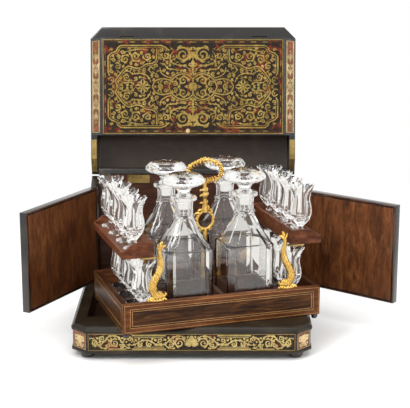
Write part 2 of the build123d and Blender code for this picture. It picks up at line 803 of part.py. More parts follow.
# ================================================================ glasses
def glass(x, y, z):
    """A tulip glass: octagonal foot, short stem and a hollow bowl, waisted below its flared rim."""
    rim = (glass_rim_radius, glass_height)
    waist = (glass_waist_radius, glass_waist_height)
    belly = (glass_belly_radius, glass_belly_height)
    cup = (glass_cup_radius, glass_cup_height)
    stem = (glass_stem_radius, glass_stem_height)
    inner_rim = (glass_rim_radius - glass_wall, glass_height)
    inner_waist = (glass_waist_radius - glass_wall, glass_waist_height)
    inner_belly = (glass_belly_radius - glass_wall, glass_belly_height)
    inner_cup = (glass_cup_radius - 1.5 * glass_wall, glass_cup_height + glass_wall)
    with BuildPart() as goblet:
        with BuildSketch(Plane.XY.offset(z)):
            with Locations((x, y)):
                canted_square(glass_foot_width, glass_foot_corner)
        extrude(amount=glass_foot_thickness)
        with BuildSketch(Plane(origin=(x, y, z), x_dir=(1, 0, 0), z_dir=(0, -1, 0))):
            with BuildLine():
                Line(inner_rim, rim)
                Spline(rim, waist, belly, cup, stem)
                Polyline(
                    stem,
                    (glass_stem_radius, glass_foot_thickness + glass_stem_flare),
                    (2 * glass_stem_radius, glass_foot_thickness),
                    (0, glass_foot_thickness),
                    (0, glass_floor_height),
                )
                Spline(
                    (0, glass_floor_height), inner_cup, inner_belly, inner_waist, inner_rim,
                    tangents=((1, 0.1), (0.5, 1)),
                )
            make_face()
        revolve(axis=Axis((x, y, z), (0, 0, 1)))
    return goblet


rows = (
    ("upper_left", shelf_width / 2, upper_glass_spacing, shelf_top),
    ("upper_right", tray_length - shelf_width / 2, upper_glass_spacing, shelf_top),
    ("lower_left", lower_glass_inset, lower_glass_spacing, rack_top),
    ("lower_right", tray_length - lower_glass_inset, lower_glass_spacing, rack_top),
)
for row_name, row_x, spacing, foot_z in rows:
    for place in range(4):
        glass_y = tray_depth / 2 + (place - 1.5) * spacing
        save(glass(row_x, glass_y, foot_z), f"glass_{row_name}_{place + 1}", tray_frame)
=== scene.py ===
"""Looks of the antique tantalus: marquetry, veneers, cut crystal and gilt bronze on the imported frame."""

import json
from math import atan2, cos, hypot, pi, radians, sin, sqrt, tau

import bmesh
import bpy
from mathutils import Matrix, Vector

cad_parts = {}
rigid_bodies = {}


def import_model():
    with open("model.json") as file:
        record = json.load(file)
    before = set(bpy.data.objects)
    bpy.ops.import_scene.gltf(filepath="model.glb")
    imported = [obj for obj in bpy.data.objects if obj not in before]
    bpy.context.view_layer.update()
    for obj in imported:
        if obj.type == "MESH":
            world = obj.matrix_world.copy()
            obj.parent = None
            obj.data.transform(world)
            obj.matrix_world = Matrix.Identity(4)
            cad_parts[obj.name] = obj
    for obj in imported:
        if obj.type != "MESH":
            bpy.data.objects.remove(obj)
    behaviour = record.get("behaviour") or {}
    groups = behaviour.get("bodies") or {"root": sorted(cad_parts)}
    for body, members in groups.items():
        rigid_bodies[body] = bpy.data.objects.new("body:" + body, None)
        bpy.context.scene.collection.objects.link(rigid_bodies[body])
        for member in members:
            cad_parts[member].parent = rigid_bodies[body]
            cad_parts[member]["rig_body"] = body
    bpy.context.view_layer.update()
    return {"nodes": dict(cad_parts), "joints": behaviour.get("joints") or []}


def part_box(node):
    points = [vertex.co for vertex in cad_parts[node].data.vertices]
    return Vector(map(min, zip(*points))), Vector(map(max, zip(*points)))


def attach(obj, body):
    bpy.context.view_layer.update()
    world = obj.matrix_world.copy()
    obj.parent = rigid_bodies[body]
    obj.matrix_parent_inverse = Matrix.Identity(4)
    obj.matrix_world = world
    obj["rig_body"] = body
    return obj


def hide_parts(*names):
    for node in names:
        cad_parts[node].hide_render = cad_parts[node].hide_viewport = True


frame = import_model()
nodes = frame["nodes"]
joints = {joint["name"]: joint for joint in frame["joints"]}
scene = bpy.context.scene
MM = 0.001


# ---------------- frames of the moving parts
def place(origin, x_axis, z_axis):
    """Matrix from a local frame in millimetres to the scene's metres."""
    x_axis = Vector(x_axis).normalized()
    z_axis = Vector(z_axis).normalized()
    y_axis = z_axis.cross(x_axis)
    turn = Matrix((x_axis, y_axis, z_axis)).transposed().to_4x4()
    return Matrix.Translation(origin) @ turn @ Matrix.Scale(MM, 4)


LID_OPEN = radians(100.55)
TRAY_TURN = radians(17.9)
TRAY_WALL = 8.0
DOOR_OPEN = {"door_left": radians(-28.3), "door_right": radians(52.0)}

world_frame = Matrix.Scale(MM, 4)
lid_frame = place(joints["lid_hinge"]["pos_m"], (1, 0, 0), (0, sin(LID_OPEN), cos(LID_OPEN)))
flap_frame = place(joints["flap_fold"]["pos_m"], (1, 0, 0), (0, -cos(LID_OPEN), sin(LID_OPEN)))
tray_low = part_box("tray_front")[0]
tray_corner = Vector((tray_low.x + TRAY_WALL * MM * sin(TRAY_TURN), tray_low.y, tray_low.z))
tray_frame = place(tray_corner, (cos(TRAY_TURN), sin(TRAY_TURN), 0), (0, 0, 1))
door_frames = {
    name: place(joints[f"{name}_hinge"]["pos_m"], (cos(turn), sin(turn), 0), (0, 0, 1))
    for name, turn in DOOR_OPEN.items()
}

# Sizes that the dressing shares with the construction, in millimetres.
BASE_WIDTH, BASE_DEPTH, BASE_HEIGHT, BASE_CANT = 350.0, 272.0, 40.2, 21.6
BEAD_HEIGHT, BEAD_OUT, CORNICE_HEIGHT, CORNICE_SLOPE = 3.4, 1.4, 8.6, 5.0
RIM_SIDE, RIM_FRONT, RIM_REAR = 20.0, 50.0, 36.0
CASE_WIDTH, CASE_HEIGHT = 325.2, 153.8
LID_LENGTH, LID_RISE, HINGE_DROP = 234.0, 44.0, 14.0
FLAP_HEIGHT, FLAP_DEPTH = 153.0, 18.0
DOOR_LENGTH, DOOR_THICKNESS, DOOR_PIN_OFFSET = 189.0, 12.0, 1.4
TRAY_LENGTH, TRAY_DEPTH, TRAY_HEIGHT = 300.0, 180.0, 44.0
DECANTER_WIDTH, DECANTER_CANT = 72.0, 9.0
DECANTER_BASE, DECANTER_SHOULDER, DECANTER_NECK, DECANTER_TOP = 4.0, 110.0, 154.0, 184.0
DECANTER_STEP_X, DECANTER_STEP_Y = 93.0, 90.0
STOPPER_RADIUS, STOPPER_HEIGHT, STOPPER_TABLE = 31.0, 34.0, 22.0
GLASS_HEIGHT, GLASS_RIM = 76.0, 19.8
SHELF_TOP, RACK_TOP = 118.0, 23.0
DOLPHIN_INSET = 50.5
POST_TOP, RING_CENTRE, RING_RADIUS = 189.0, 134.0, 15.5
HANDLE_WIDTH, HANDLE_HEIGHT = 60.0, 40.0
# Places of the glasses on the shelves and in the racks: distance from the tray's end, and spacing.
SHELF_INSET, SHELF_SPACING, RACK_INSET, RACK_SPACING = 23.0, 44.0, 36.0, 41.5
GLASS_TURN = 0.37

# Sizes of the dressing alone, in millimetres.
SOFT_EDGE = 0.9
MERGE_REACH = 2e-6  # metres
FLAT_ANGLE, HARD_ANGLE = radians(0.5), radians(20)
VENEER_LIFT, FILLET_LIFT = 0.05, 0.12
LID_WALL, LID_INNER_BACK, LID_INNER_FRONT, LID_INNER_TOP = 9.6, 9.2, 216.4, 6.5
LID_CARTOUCHE = (68, 44)
CASTING_VOXEL = 0.5


# ---------------- materials
class Graph:
    """Short calls for adding and joining the nodes of a material or of the room."""

    def __init__(self, owner):
        owner.use_nodes = True
        self.tree = owner.node_tree

    def add(self, kind, values=None, **settings):
        node = self.tree.nodes.new("ShaderNode" + kind)
        for key, value in settings.items():
            setattr(node, key, value)
        for key, value in (values or {}).items():
            node.inputs[key].default_value = value
        return node

    def join(self, source, target):
        self.tree.links.new(source, target)

    def combine(self, operation, first, second):
        node = self.add("Math", operation=operation)
        for socket, value in zip(node.inputs, (first, second)):
            if isinstance(value, (int, float)):
                socket.default_value = value
            else:
                self.join(value, socket)
        return node.outputs[0]

    def smooth_step(self, value, low, high, top):
        """A soft rise of a value from 0 to the top, between two levels."""
        rise = self.add("MapRange", {"From Min": low, "From Max": high, "To Max": top},
                        interpolation_type="SMOOTHSTEP")
        self.join(value, rise.inputs["Value"])
        return rise.outputs["Result"]

    def background_rays(self):
        """1 for rays that show the white background: the camera's, and those that metal or glass pass on."""
        path = self.add("LightPath").outputs
        passed_on = self.combine("MAXIMUM", path["Is Glossy Ray"], path["Is Transmission Ray"])
        return self.combine("MAXIMUM", path["Is Camera Ray"], passed_on)


class Shader(Graph):
    """A principled material."""

    def __init__(self, name):
        self.material = bpy.data.materials.new(name)
        super().__init__(self.material)
        self.surface = self.tree.nodes["Principled BSDF"]

    def blend(self, factor, first, second):
        """From the first surface to the second, by the factor."""
        mixer = self.add("MixShader")
        for source, socket in zip((factor, first, second), mixer.inputs):
            self.join(source, socket)
        return mixer.outputs["Shader"]

    def show(self, surface):
        self.join(surface, self.tree.nodes["Material Output"].inputs["Surface"])

    def set(self, **values):
        for key, value in values.items():
            self.surface.inputs[key.replace("_", " ")].default_value = value

    def coordinates(self, stretch=(1, 1, 1), turn=(0, 0, 0)):
        """Object coordinates turned to the grain, then stretched."""
        where = self.add("TexCoord")
        turned = self.add("Mapping", {"Rotation": turn})
        scaled = self.add("Mapping", {"Scale": stretch})
        self.join(where.outputs["Object"], turned.inputs["Vector"])
        self.join(turned.outputs["Vector"], scaled.inputs["Vector"])
        return scaled.outputs["Vector"]

    def noise(self, vector, scale, detail, roughness, distortion=0.0):
        values = {"Scale": scale, "Detail": detail, "Roughness": roughness, "Distortion": distortion}
        texture = self.add("TexNoise", values)
        self.join(vector, texture.inputs["Vector"])
        return texture.outputs["Fac"]

    def ramp(self, factor, stops):
        ramp = self.add("ValToRGB")
        elements = ramp.color_ramp.elements
        while len(elements) < len(stops):
            elements.new(0.5)
        for element, (position, colour) in zip(elements, stops):
            element.position = position
            element.color = (*colour, 1)
        self.join(factor, ramp.inputs["Fac"])
        return ramp.outputs["Color"]

    def mix(self, factor, first, second, blend="MIX"):
        mixer = self.add("Mix", data_type="RGBA", blend_type=blend)
        for value, socket in ((factor, 0), (first, 6), (second, 7)):
            if hasattr(value, "links"):
                self.join(value, mixer.inputs[socket])
            else:
                mixer.inputs[socket].default_value = value if socket == 0 else (*value, 1)
        return mixer.outputs[2]

    def colour(self, socket):
        self.join(socket, self.surface.inputs["Base Color"])

    def vary_roughness(self, factor, low, high):
        spread = self.add("MapRange", {"To Min": low, "To Max": high})
        self.join(factor, spread.inputs["Value"])
        self.join(spread.outputs["Result"], self.surface.inputs["Roughness"])

    def bump(self, factor, strength, distance):
        relief = self.add("Bump", {"Strength": strength, "Distance": distance})
        self.join(factor, relief.inputs["Height"])
        self.join(relief.outputs["Normal"], self.surface.inputs["Normal"])


def wood(name, dark, middle, light, stretch, turn=(0, 0, 0), figure=0.0):
    """Polished veneer: long grain, fine pores and, with figure, the swirl of a crotch cut."""
    shader = Shader(name)
    vector = shader.coordinates(stretch, turn)
    grain = shader.noise(vector, 60, 6, 0.6, figure)
    pores = shader.noise(vector, 420, 3, 0.7, 0.2)
    patches = shader.noise(shader.coordinates(), 14, 3, 0.5, 0.4)
    colour = shader.ramp(grain, ((0.3, dark), (0.5, middle), (0.7, light)))
    dark_pores = shader.ramp(pores, ((0.38, (0.35, 0.3, 0.28)), (0.5, (1, 1, 1))))
    colour = shader.mix(0.55, colour, dark_pores, "MULTIPLY")
    shade = shader.ramp(patches, ((0.3, (0.55, 0.52, 0.5)), (0.7, (1.15, 1.12, 1.08))))
    colour = shader.mix(0.7, colour, shade, "MULTIPLY")
    shader.colour(colour)
    shader.vary_roughness(pores, 0.3, 0.45)
    shader.bump(pores, 0.06, 0.0004)
    shader.set(Coat_Weight=0.0, Coat_Roughness=0.1, Specular_IOR_Level=0.12)
    return shader.material


def ebonised(name, colour, wear, roughness, coat, sheen):
    """Black French polish over pearwood, a little brown where it has thinned."""
    shader = Shader(name)
    vector = shader.coordinates((1, 6, 6))
    streaks = shader.noise(vector, 70, 5, 0.6)
    patches = shader.noise(shader.coordinates(), 24, 4, 0.6)
    thin = shader.ramp(patches, ((0.5, colour), (0.78, wear)))
    grain = shader.ramp(streaks, ((0.35, (0.5, 0.5, 0.5)), (0.65, (1, 1, 1))))
    shader.colour(shader.mix(0.4, thin, grain, "MULTIPLY"))
    shader.vary_roughness(patches, *roughness)
    shader.bump(streaks, 0.04, 0.0003)
    shader.set(Coat_Weight=coat, Coat_Roughness=0.06, Specular_IOR_Level=sheen)
    return shader.material


def tortoiseshell(name, ground, red, red_share, tint):
    """Shell veneer under polish: a dark ground with warm patches and a few cool ones."""
    shader = Shader(name)
    vector = shader.coordinates()
    clouds = shader.noise(vector, 60, 5, 0.62, 0.8)
    spots = shader.noise(vector, 210, 3, 0.6, 0.3)
    blend = shader.mix(0.25, clouds, spots)
    shader.colour(shader.ramp(blend, (
        (red_share - 0.2, tint), (red_share - 0.15, ground), (red_share - 0.03, ground),
        (red_share + 0.06, red),
    )))
    shader.vary_roughness(spots, 0.2, 0.36)
    shader.set(Coat_Weight=0.1, Coat_Roughness=0.1, Specular_IOR_Level=0.2)
    return shader.material


def metal(name, base, bright, dark, roughness, grain=300, relief=0.12, distance=0.0003, painted_shade_share=0.0):
    """Brass or gilt bronze with tarnish in clouds, a faintly uneven surface and, when given a share, painted
    shade that darkens its hollows.
    """
    shader = Shader(name)
    vector = shader.coordinates()
    clouds = shader.noise(vector, 45, 5, 0.6)
    fine = shader.noise(vector, grain, 4, 0.6)
    colour = shader.mix(0.35, shader.ramp(clouds, ((0.32, dark), (0.5, base), (0.68, bright))),
                        shader.ramp(fine, ((0.35, dark), (0.6, bright))))
    # Painted shade: dark brown where the surface is hollow, read from its pointiness.
    if painted_shade_share:
        shape = shader.add("NewGeometry")
        hollow = shader.ramp(shape.outputs["Pointiness"], ((0.44, (0.12, 0.07, 0.03)), (0.52, (1, 1, 1))))
        colour = shader.mix(painted_shade_share, colour, hollow, "MULTIPLY")
    shader.colour(colour)
    shader.vary_roughness(clouds, *roughness)
    shader.bump(fine, relief, distance)
    shader.set(Metallic=1.0)
    return shader.material


def crystal(name, painted_glow_depth, strength):
    """Clear lead crystal. Rays that have bounced more often than the given depth, and never off a diffuse
    surface, meet a painted white glow: an emission that stands in for light, though the crystal is no lamp.
    Shadow rays pass through it clear.
    """
    shader = Shader(name)
    shader.set(Transmission_Weight=1.0, IOR=1.52, Roughness=0.0, Base_Color=(0.99, 0.99, 0.985, 1))
    path = shader.add("LightPath").outputs
    clear = shader.add("BsdfTransparent", {"Color": (0.95, 0.95, 0.945, 1)})
    # Painted light: a white emission in place of the crystal's refraction, for rays past the glow depth.
    glow = shader.add("Emission", {"Color": (1.0, 0.98, 0.94, 1), "Strength": strength})
    past_painted_glow_depth = shader.combine("GREATER_THAN", path["Ray Depth"], painted_glow_depth)
    direct = shader.combine("LESS_THAN", path["Diffuse Depth"], 0.5)
    with_painted_glow = shader.blend(shader.combine("MULTIPLY", past_painted_glow_depth, direct), shader.surface.outputs["BSDF"],
                        glow.outputs["Emission"])
    shader.show(shader.blend(path["Is Shadow Ray"], with_painted_glow, clear.outputs["BSDF"]))
    return shader.material


ebony = ebonised("ebonised_wood", (0.011, 0.009, 0.008), (0.05, 0.035, 0.022), (0.12, 0.28), 0.35, 0.5)
ebony_base = ebonised("ebonised_base", (0.018, 0.013, 0.008), (0.06, 0.043, 0.024), (0.22, 0.4), 0.08, 0.22)
lid_inside = ebonised("lid_inside", (0.046, 0.027, 0.016), (0.085, 0.048, 0.026), (0.3, 0.45), 0.2, 0.3)
shell = tortoiseshell("tortoiseshell", (0.013, 0.007, 0.003), (0.14, 0.02, 0.008), 0.56,
                      (0.008, 0.015, 0.014))
shell_red = tortoiseshell("tortoiseshell_border", (0.03, 0.012, 0.005), (0.15, 0.02, 0.009), 0.55,
                          (0.012, 0.018, 0.016))
shell_light = tortoiseshell("tortoiseshell_light", (0.15, 0.06, 0.022), (0.28, 0.085, 0.04), 0.54,
                            (0.04, 0.022, 0.01))
# Painted shade: this brass is a darker copy of the frieze brass, darkened to stand in for the darker
# surroundings it reflects.
brass_inlay_painted_dark = metal("brass_inlay_painted_dark", (0.31, 0.215, 0.055), (0.47, 0.335, 0.1), (0.13, 0.083, 0.022),
                    (0.34, 0.52))
brass_old = metal("brass_old", (0.06, 0.04, 0.016), (0.11, 0.075, 0.03), (0.025, 0.017, 0.008), (0.4, 0.6))
brass_frieze = metal("brass_frieze", (0.46, 0.35, 0.13), (0.62, 0.49, 0.2), (0.24, 0.17, 0.06), (0.34, 0.5))
brass_pale = metal("brass_pale", (0.6, 0.46, 0.23), (0.78, 0.62, 0.35), (0.34, 0.25, 0.11), (0.34, 0.5))
brass = metal("brass", (0.32, 0.22, 0.07), (0.5, 0.36, 0.13), (0.13, 0.085, 0.03), (0.24, 0.42))
# The last number of the gilt bronze is the share of painted shade in its hollows.
gilt = metal("gilt_bronze", (0.68, 0.41, 0.09), (0.9, 0.62, 0.2), (0.32, 0.16, 0.03), (0.16, 0.36),
             620, 0.7, 0.0007, 0.9)
boxwood = wood("boxwood", (0.26, 0.13, 0.045), (0.4, 0.21, 0.08), (0.52, 0.3, 0.12), (1, 8, 8))
lining = wood("dark_lining_wood", (0.018, 0.009, 0.006), (0.042, 0.019, 0.012), (0.07, 0.033, 0.02),
              (0.25, 3, 3))
lining_back = wood("back_lining_wood", (0.02, 0.008, 0.005), (0.05, 0.019, 0.011), (0.085, 0.033, 0.02),
                   (0.3, 3, 3))
rosewood = {
    "door_left": wood("rosewood_left", (0.04, 0.013, 0.005), (0.1, 0.033, 0.011), (0.17, 0.062, 0.02),
                      (4, 1.2, 0.3), (0, 0, -DOOR_OPEN["door_left"]), 1.2),
    "door_right": wood("rosewood_right", (0.045, 0.015, 0.006), (0.115, 0.039, 0.013), (0.2, 0.074, 0.025),
                       (4, 1.2, 0.3), (0, 0, -DOOR_OPEN["door_right"]), 1.2),
}
TRAY_GRAIN = (0, 0, -TRAY_TURN)
mahogany = wood("mahogany", (0.036, 0.012, 0.004), (0.11, 0.037, 0.012), (0.21, 0.075, 0.025),
                (0.22, 2.5, 2.5), TRAY_GRAIN, 0.8)
# Painted shade: the same mahogany as the tray's front and back, much darker, for its left and right walls.
mahogany_side_painted_shade = wood("mahogany_side_painted_shade", (0.016, 0.005, 0.002), (0.045, 0.014, 0.005), (0.09, 0.031, 0.01),
                     (2.5, 0.22, 2.5), TRAY_GRAIN, 0.8)
mahogany_shelf = wood("mahogany_shelf", (0.045, 0.012, 0.005), (0.12, 0.038, 0.016), (0.22, 0.078, 0.034),
                      (0.22, 2.5, 2.5))
tray_panel = wood("tray_panel", (0.01, 0.004, 0.0015), (0.042, 0.016, 0.005), (0.15, 0.058, 0.015),
                  (0.16, 1.2, 1.5), TRAY_GRAIN, 2.2)
# The last number is the strength of the painted white glow; the clear crystal of the bottles' bodies has
# none.
clear_crystal = crystal("crystal", 11.5, 0.0)
neck_crystal_painted_glow = crystal("neck_crystal_painted_glow", 3.5, 0.7)
cut_crystal_painted_glow = crystal("cut_crystal_painted_glow", 4.5, 0.9)
stopper_crystal_painted_glow = crystal("stopper_crystal_painted_glow", 2.5, 0.85)


# ---------------- building blocks
def sharpen(mesh, degrees):
    """Smooth shading that keeps every edge sharper than the angle."""
    for polygon in mesh.polygons:
        polygon.use_smooth = True
    mesh.set_sharp_from_angle(angle=radians(degrees))


def add_piece(name, mesh, materials, body, matrix, replaces=(), smooth=None):
    """Link a mesh whose vertices are in a local frame in millimetres, and hang it on its body."""
    if matrix is not None:
        mesh.transform(matrix)
        if matrix.determinant() < 0:
            mesh.flip_normals()
    for material in materials:
        mesh.materials.append(material)
    if smooth is not None:
        sharpen(mesh, smooth)
    piece = bpy.data.objects.new(name, mesh)
    scene.collection.objects.link(piece)
    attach(piece, body)
    for node in replaces:
        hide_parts(node)


def mesh_from(name, vertices, faces):
    mesh = bpy.data.meshes.new(name)
    mesh.from_pydata([tuple(v) for v in vertices], [], faces)
    mesh.validate()
    mesh.update()
    return mesh


def dress(node, materials, edge=0.0, paint=None):
    """Stand in for a CAD node with the same shape, softened edges and a material for each face."""
    mesh = nodes[node].data.copy()
    mesh.materials.clear()
    work = bmesh.new()
    work.from_mesh(mesh)
    bmesh.ops.remove_doubles(work, verts=work.verts, dist=MERGE_REACH)
    bmesh.ops.dissolve_limit(work, angle_limit=FLAT_ANGLE, verts=work.verts, edges=work.edges)
    work.normal_update()
    if paint:
        for face in work.faces:
            face.material_index = paint(face.calc_center_median(), face.normal)
    hard = [e for e in work.edges if len(e.link_faces) == 2 and e.calc_face_angle(0) > HARD_ANGLE]
    if edge:
        bmesh.ops.bevel(work, geom=hard, offset=edge * MM, segments=2, profile=0.6, affect="EDGES",
                        clamp_overlap=True)
    work.to_mesh(mesh)
    work.free()
    add_piece(f"{node}_dressed", mesh, materials, nodes[node]["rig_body"], None, (node,), 35)


def dress_all(material, slot, edge, *names):
    """Dress several nodes alike."""
    for node in names:
        dress(node, [material], edge)


def skin(rings, sides, capped=True, looped=False):
    """Faces between rings of the same count, numbered ring after ring."""
    faces = []
    for ring in range(rings if looped else rings - 1):
        a, b = ring * sides, (ring + 1) % rings * sides
        for i in range(sides):
            j = (i + 1) % sides
            faces.append((a + i, a + j, b + j, b + i))
    if capped:
        faces.append(tuple(reversed(range(sides))))
        faces.append(tuple(range((rings - 1) * sides, rings * sides)))
    return faces


class Marquetry:
    """Flat ribbons, leaves and dots in a panel's own plane, each a hair above the last."""

    BASE_LIFT = 0.08
    STEP = 0.003
    STEPS = 37

    def __init__(self):
        self.vertices = []
        self.faces = []
        self.count = 0

    def next_lift(self):
        self.count += 1
        return self.BASE_LIFT + self.STEP * (self.count % self.STEPS)

    def strip(self, centre, widths):
        """A ribbon along the points, with a width at each point."""
        lift = self.next_lift()
        first = len(self.vertices)
        last = len(centre) - 1
        for i, (x, y) in enumerate(centre):
            x0, y0 = centre[max(i - 1, 0)]
            x1, y1 = centre[min(i + 1, last)]
            length = hypot(x1 - x0, y1 - y0) or 1.0
            nx, ny = -(y1 - y0) / length, (x1 - x0) / length
            half = widths[i] / 2
            self.vertices.append((x + nx * half, y + ny * half, lift))
            self.vertices.append((x - nx * half, y - ny * half, lift))
        for i in range(last):
            a = first + 2 * i
            self.faces.append((a + 1, a + 3, a + 2, a))

    def line(self, points, width):
        self.strip(points, [width] * len(points))

    def spiral(self, cx, cy, radius, start, turns, width, grow=0.22, steps=26):
        """A scroll that winds in from its rim and ends in a round eye."""
        points = []
        for i in range(steps + 1):
            share = i / steps
            angle = start + turns * tau * share
            reach = radius * (1 - (1 - grow) * share)
            points.append((cx + reach * cos(angle), cy + reach * sin(angle)))
        self.strip(points, [width * (0.35 + 0.75 * sin(pi * min(1, 0.12 + i / steps)))
                            for i in range(steps + 1)])
        self.dot(points[-1][0], points[-1][1], width * 0.75)

    def leaf(self, x, y, angle, length, width, bend=0.5, steps=8):
        """A pointed leaf that curls to one side."""
        points = []
        for i in range(steps + 1):
            share = i / steps
            turn = angle + bend * share
            points.append((x + length * share * cos(turn), y + length * share * sin(turn)))
        self.strip(points, [width * sin(pi * (0.08 + 0.92 * i / steps)) ** 0.8 + 0.05
                            for i in range(steps + 1)])

    def dot(self, x, y, radius, sides=12):
        lift = self.next_lift()
        first = len(self.vertices)
        for i in range(sides):
            angle = tau * i / sides
            self.vertices.append((x + radius * cos(angle), y + radius * sin(angle), lift))
        self.faces.append(tuple(range(first, first + sides)))

    def acanthus(self, cx, cy, radius, start, turns, width, leaves=3):
        """A scroll with slim leaves that spring from its outer turn."""
        self.spiral(cx, cy, radius, start, turns, width)
        sense = 1 if turns > 0 else -1
        for i in range(leaves):
            angle = start + sense * (0.2 + 1.15 * i)
            reach = radius * (1 - 0.78 * abs(angle - start) / abs(turns * tau))
            x = cx + reach * cos(angle)
            y = cy + reach * sin(angle)
            self.leaf(x, y, angle + sense * 0.75, radius * 0.72, width * 0.85, sense * 1.0)

    def sprig(self, x, y, angle, size):
        """Three small leaves from one point."""
        for bend in (-1.1, 0.0, 1.1):
            self.leaf(x, y, angle + 0.45 * bend, size * (1.0 if bend else 1.15), size * 0.27, bend)

    def vine(self, points, width, leaves, size, first=0.15):
        """A stem that swells and thins, with leaves on alternate sides and a curled end."""
        curve = smooth_curve(points, 8, False)
        last = len(curve) - 1
        self.strip(curve, [width * (0.45 + 0.65 * sin(pi * i / last)) for i in range(last + 1)])
        for i in range(leaves):
            at = int(last * (first + (0.95 - first) * i / max(1, leaves - 1)))
            x, y = curve[at]
            x1, y1 = curve[min(at + 1, last)]
            x0, y0 = curve[max(at - 1, 0)]
            heading = atan2(y1 - y0, x1 - x0)
            side = 1 if i % 2 else -1
            self.leaf(x, y, heading + side * 0.9, size, size * 0.26, -side * 0.9)
            self.leaf(x, y, heading - side * 1.2, size * 0.6, size * 0.2, side * 0.7)
        return [(x, y, size * 0.45) for x, y in curve[::5]]

    def fill(self, half_x, half_y, blocked, largest, smallest, width, grid=1.5):
        """Pack scrolls of falling size into a quarter of a panel, round the discs already used.

        Each scroll takes the widest space left, so the leaves of one reach to the next.
        """
        spots = [(grid * (i + 0.5), grid * (j + 0.5))
                 for i in range(int(half_x / grid)) for j in range(int(half_y / grid))]
        discs = list(blocked)
        while True:
            best = None
            for x, y in spots:
                room = min(half_x - x, half_y - y, largest, x + smallest, y + smallest)
                for cx, cy, reach in discs:
                    room = min(room, hypot(x - cx, y - cy) - reach)
                    if best and room <= best[0]:
                        break
                if best is None or room > best[0]:
                    best = (room, x, y)
            if best[0] < smallest:
                return
            room, x, y = best
            discs.append((x, y, room))
            start = 2.4 * x / half_x + 3.1 * y / half_y + 1.7 * len(discs)
            sense = 1 if len(discs) % 2 else -1
            if room > 0.62 * largest:
                self.acanthus(x, y, room * 0.75, start, sense * 1.1, width, 3)
            else:
                back = 0.6 * room
                self.sprig(x - back * cos(start), y - back * sin(start), start, room * 1.6)

    def mirrored(self, across_x=True, across_y=True):
        """Repeat all that is drawn so far on the other side of one or both axes."""
        for used, axis in ((across_x, 0), (across_y, 1)):
            if not used:
                continue
            shift = len(self.vertices)
            for v in list(self.vertices):
                self.vertices.append((-v[0] if axis == 0 else v[0], -v[1] if axis == 1 else v[1],
                                      v[2] + self.STEP / 2))
            for face in list(self.faces):
                self.faces.append(tuple(shift + i for i in reversed(face)))
        return self

    def lay(self, name, material, body, matrix):
        """Let the finished design into its panel."""
        add_piece(name, mesh_from(name, self.vertices, self.faces), [material], body, matrix)


def face_frame(frame_matrix, origin, x_axis, y_axis):
    """Plane of a flat face inside a local frame: x and y run in the face, z comes out of it."""
    x_axis = Vector(x_axis).normalized()
    y_axis = Vector(y_axis).normalized()
    turn = Matrix((x_axis, y_axis, x_axis.cross(y_axis))).transposed().to_4x4()
    return frame_matrix @ Matrix.Translation(origin) @ turn


def smooth_curve(points, per_span, closed=True):
    """Catmull-Rom curve through the points."""
    count = len(points)
    spans = count if closed else count - 1
    curve = []
    for i in range(spans):
        p0 = points[(i - 1) % count] if closed else points[max(i - 1, 0)]
        p1 = points[i]
        p2 = points[(i + 1) % count]
        p3 = points[(i + 2) % count] if closed else points[min(i + 2, count - 1)]
        for step in range(per_span):
            t = step / per_span
            curve.append(tuple(
                0.5 * (2 * b + (c - a) * t + (2 * a - 5 * b + 4 * c - d) * t * t
                       + (3 * b - a - 3 * c + d) * t ** 3)
                for a, b, c, d in zip(p0, p1, p2, p3)
            ))
    if not closed:
        curve.append(tuple(points[-1]))
    return curve


def rectangle_line(half_x, half_y):
    """Corner points of a rectangle."""
    return [(-half_x, -half_y), (half_x, -half_y), (half_x, half_y), (-half_x, half_y)]


def fillet_lines(name, outlines, width, material, body, matrix):
    """Fine closed fillets of one width, mitred at their corners."""
    vertices = []
    faces = []
    for half_x, half_y in outlines:
        first = len(vertices)
        for grow in (0.5 * width, -0.5 * width):
            for x, y in rectangle_line(half_x + grow, half_y + grow):
                vertices.append((x, y, FILLET_LIFT))
        for i in range(4):
            j = (i + 1) % 4
            faces.append((first + i, first + j, first + 4 + j, first + 4 + i))
    add_piece(name, mesh_from(name, vertices, faces), [material], body, matrix)


def veneer(name, half_x, half_y, material, body, matrix, lift=VENEER_LIFT, slot="boulle_marquetry"):
    """A veneer panel let into a face."""
    vertices = [(x, y, lift) for x, y in rectangle_line(half_x, half_y)]
    add_piece(name, mesh_from(name, vertices, [(0, 1, 2, 3)]), [material], body, matrix)


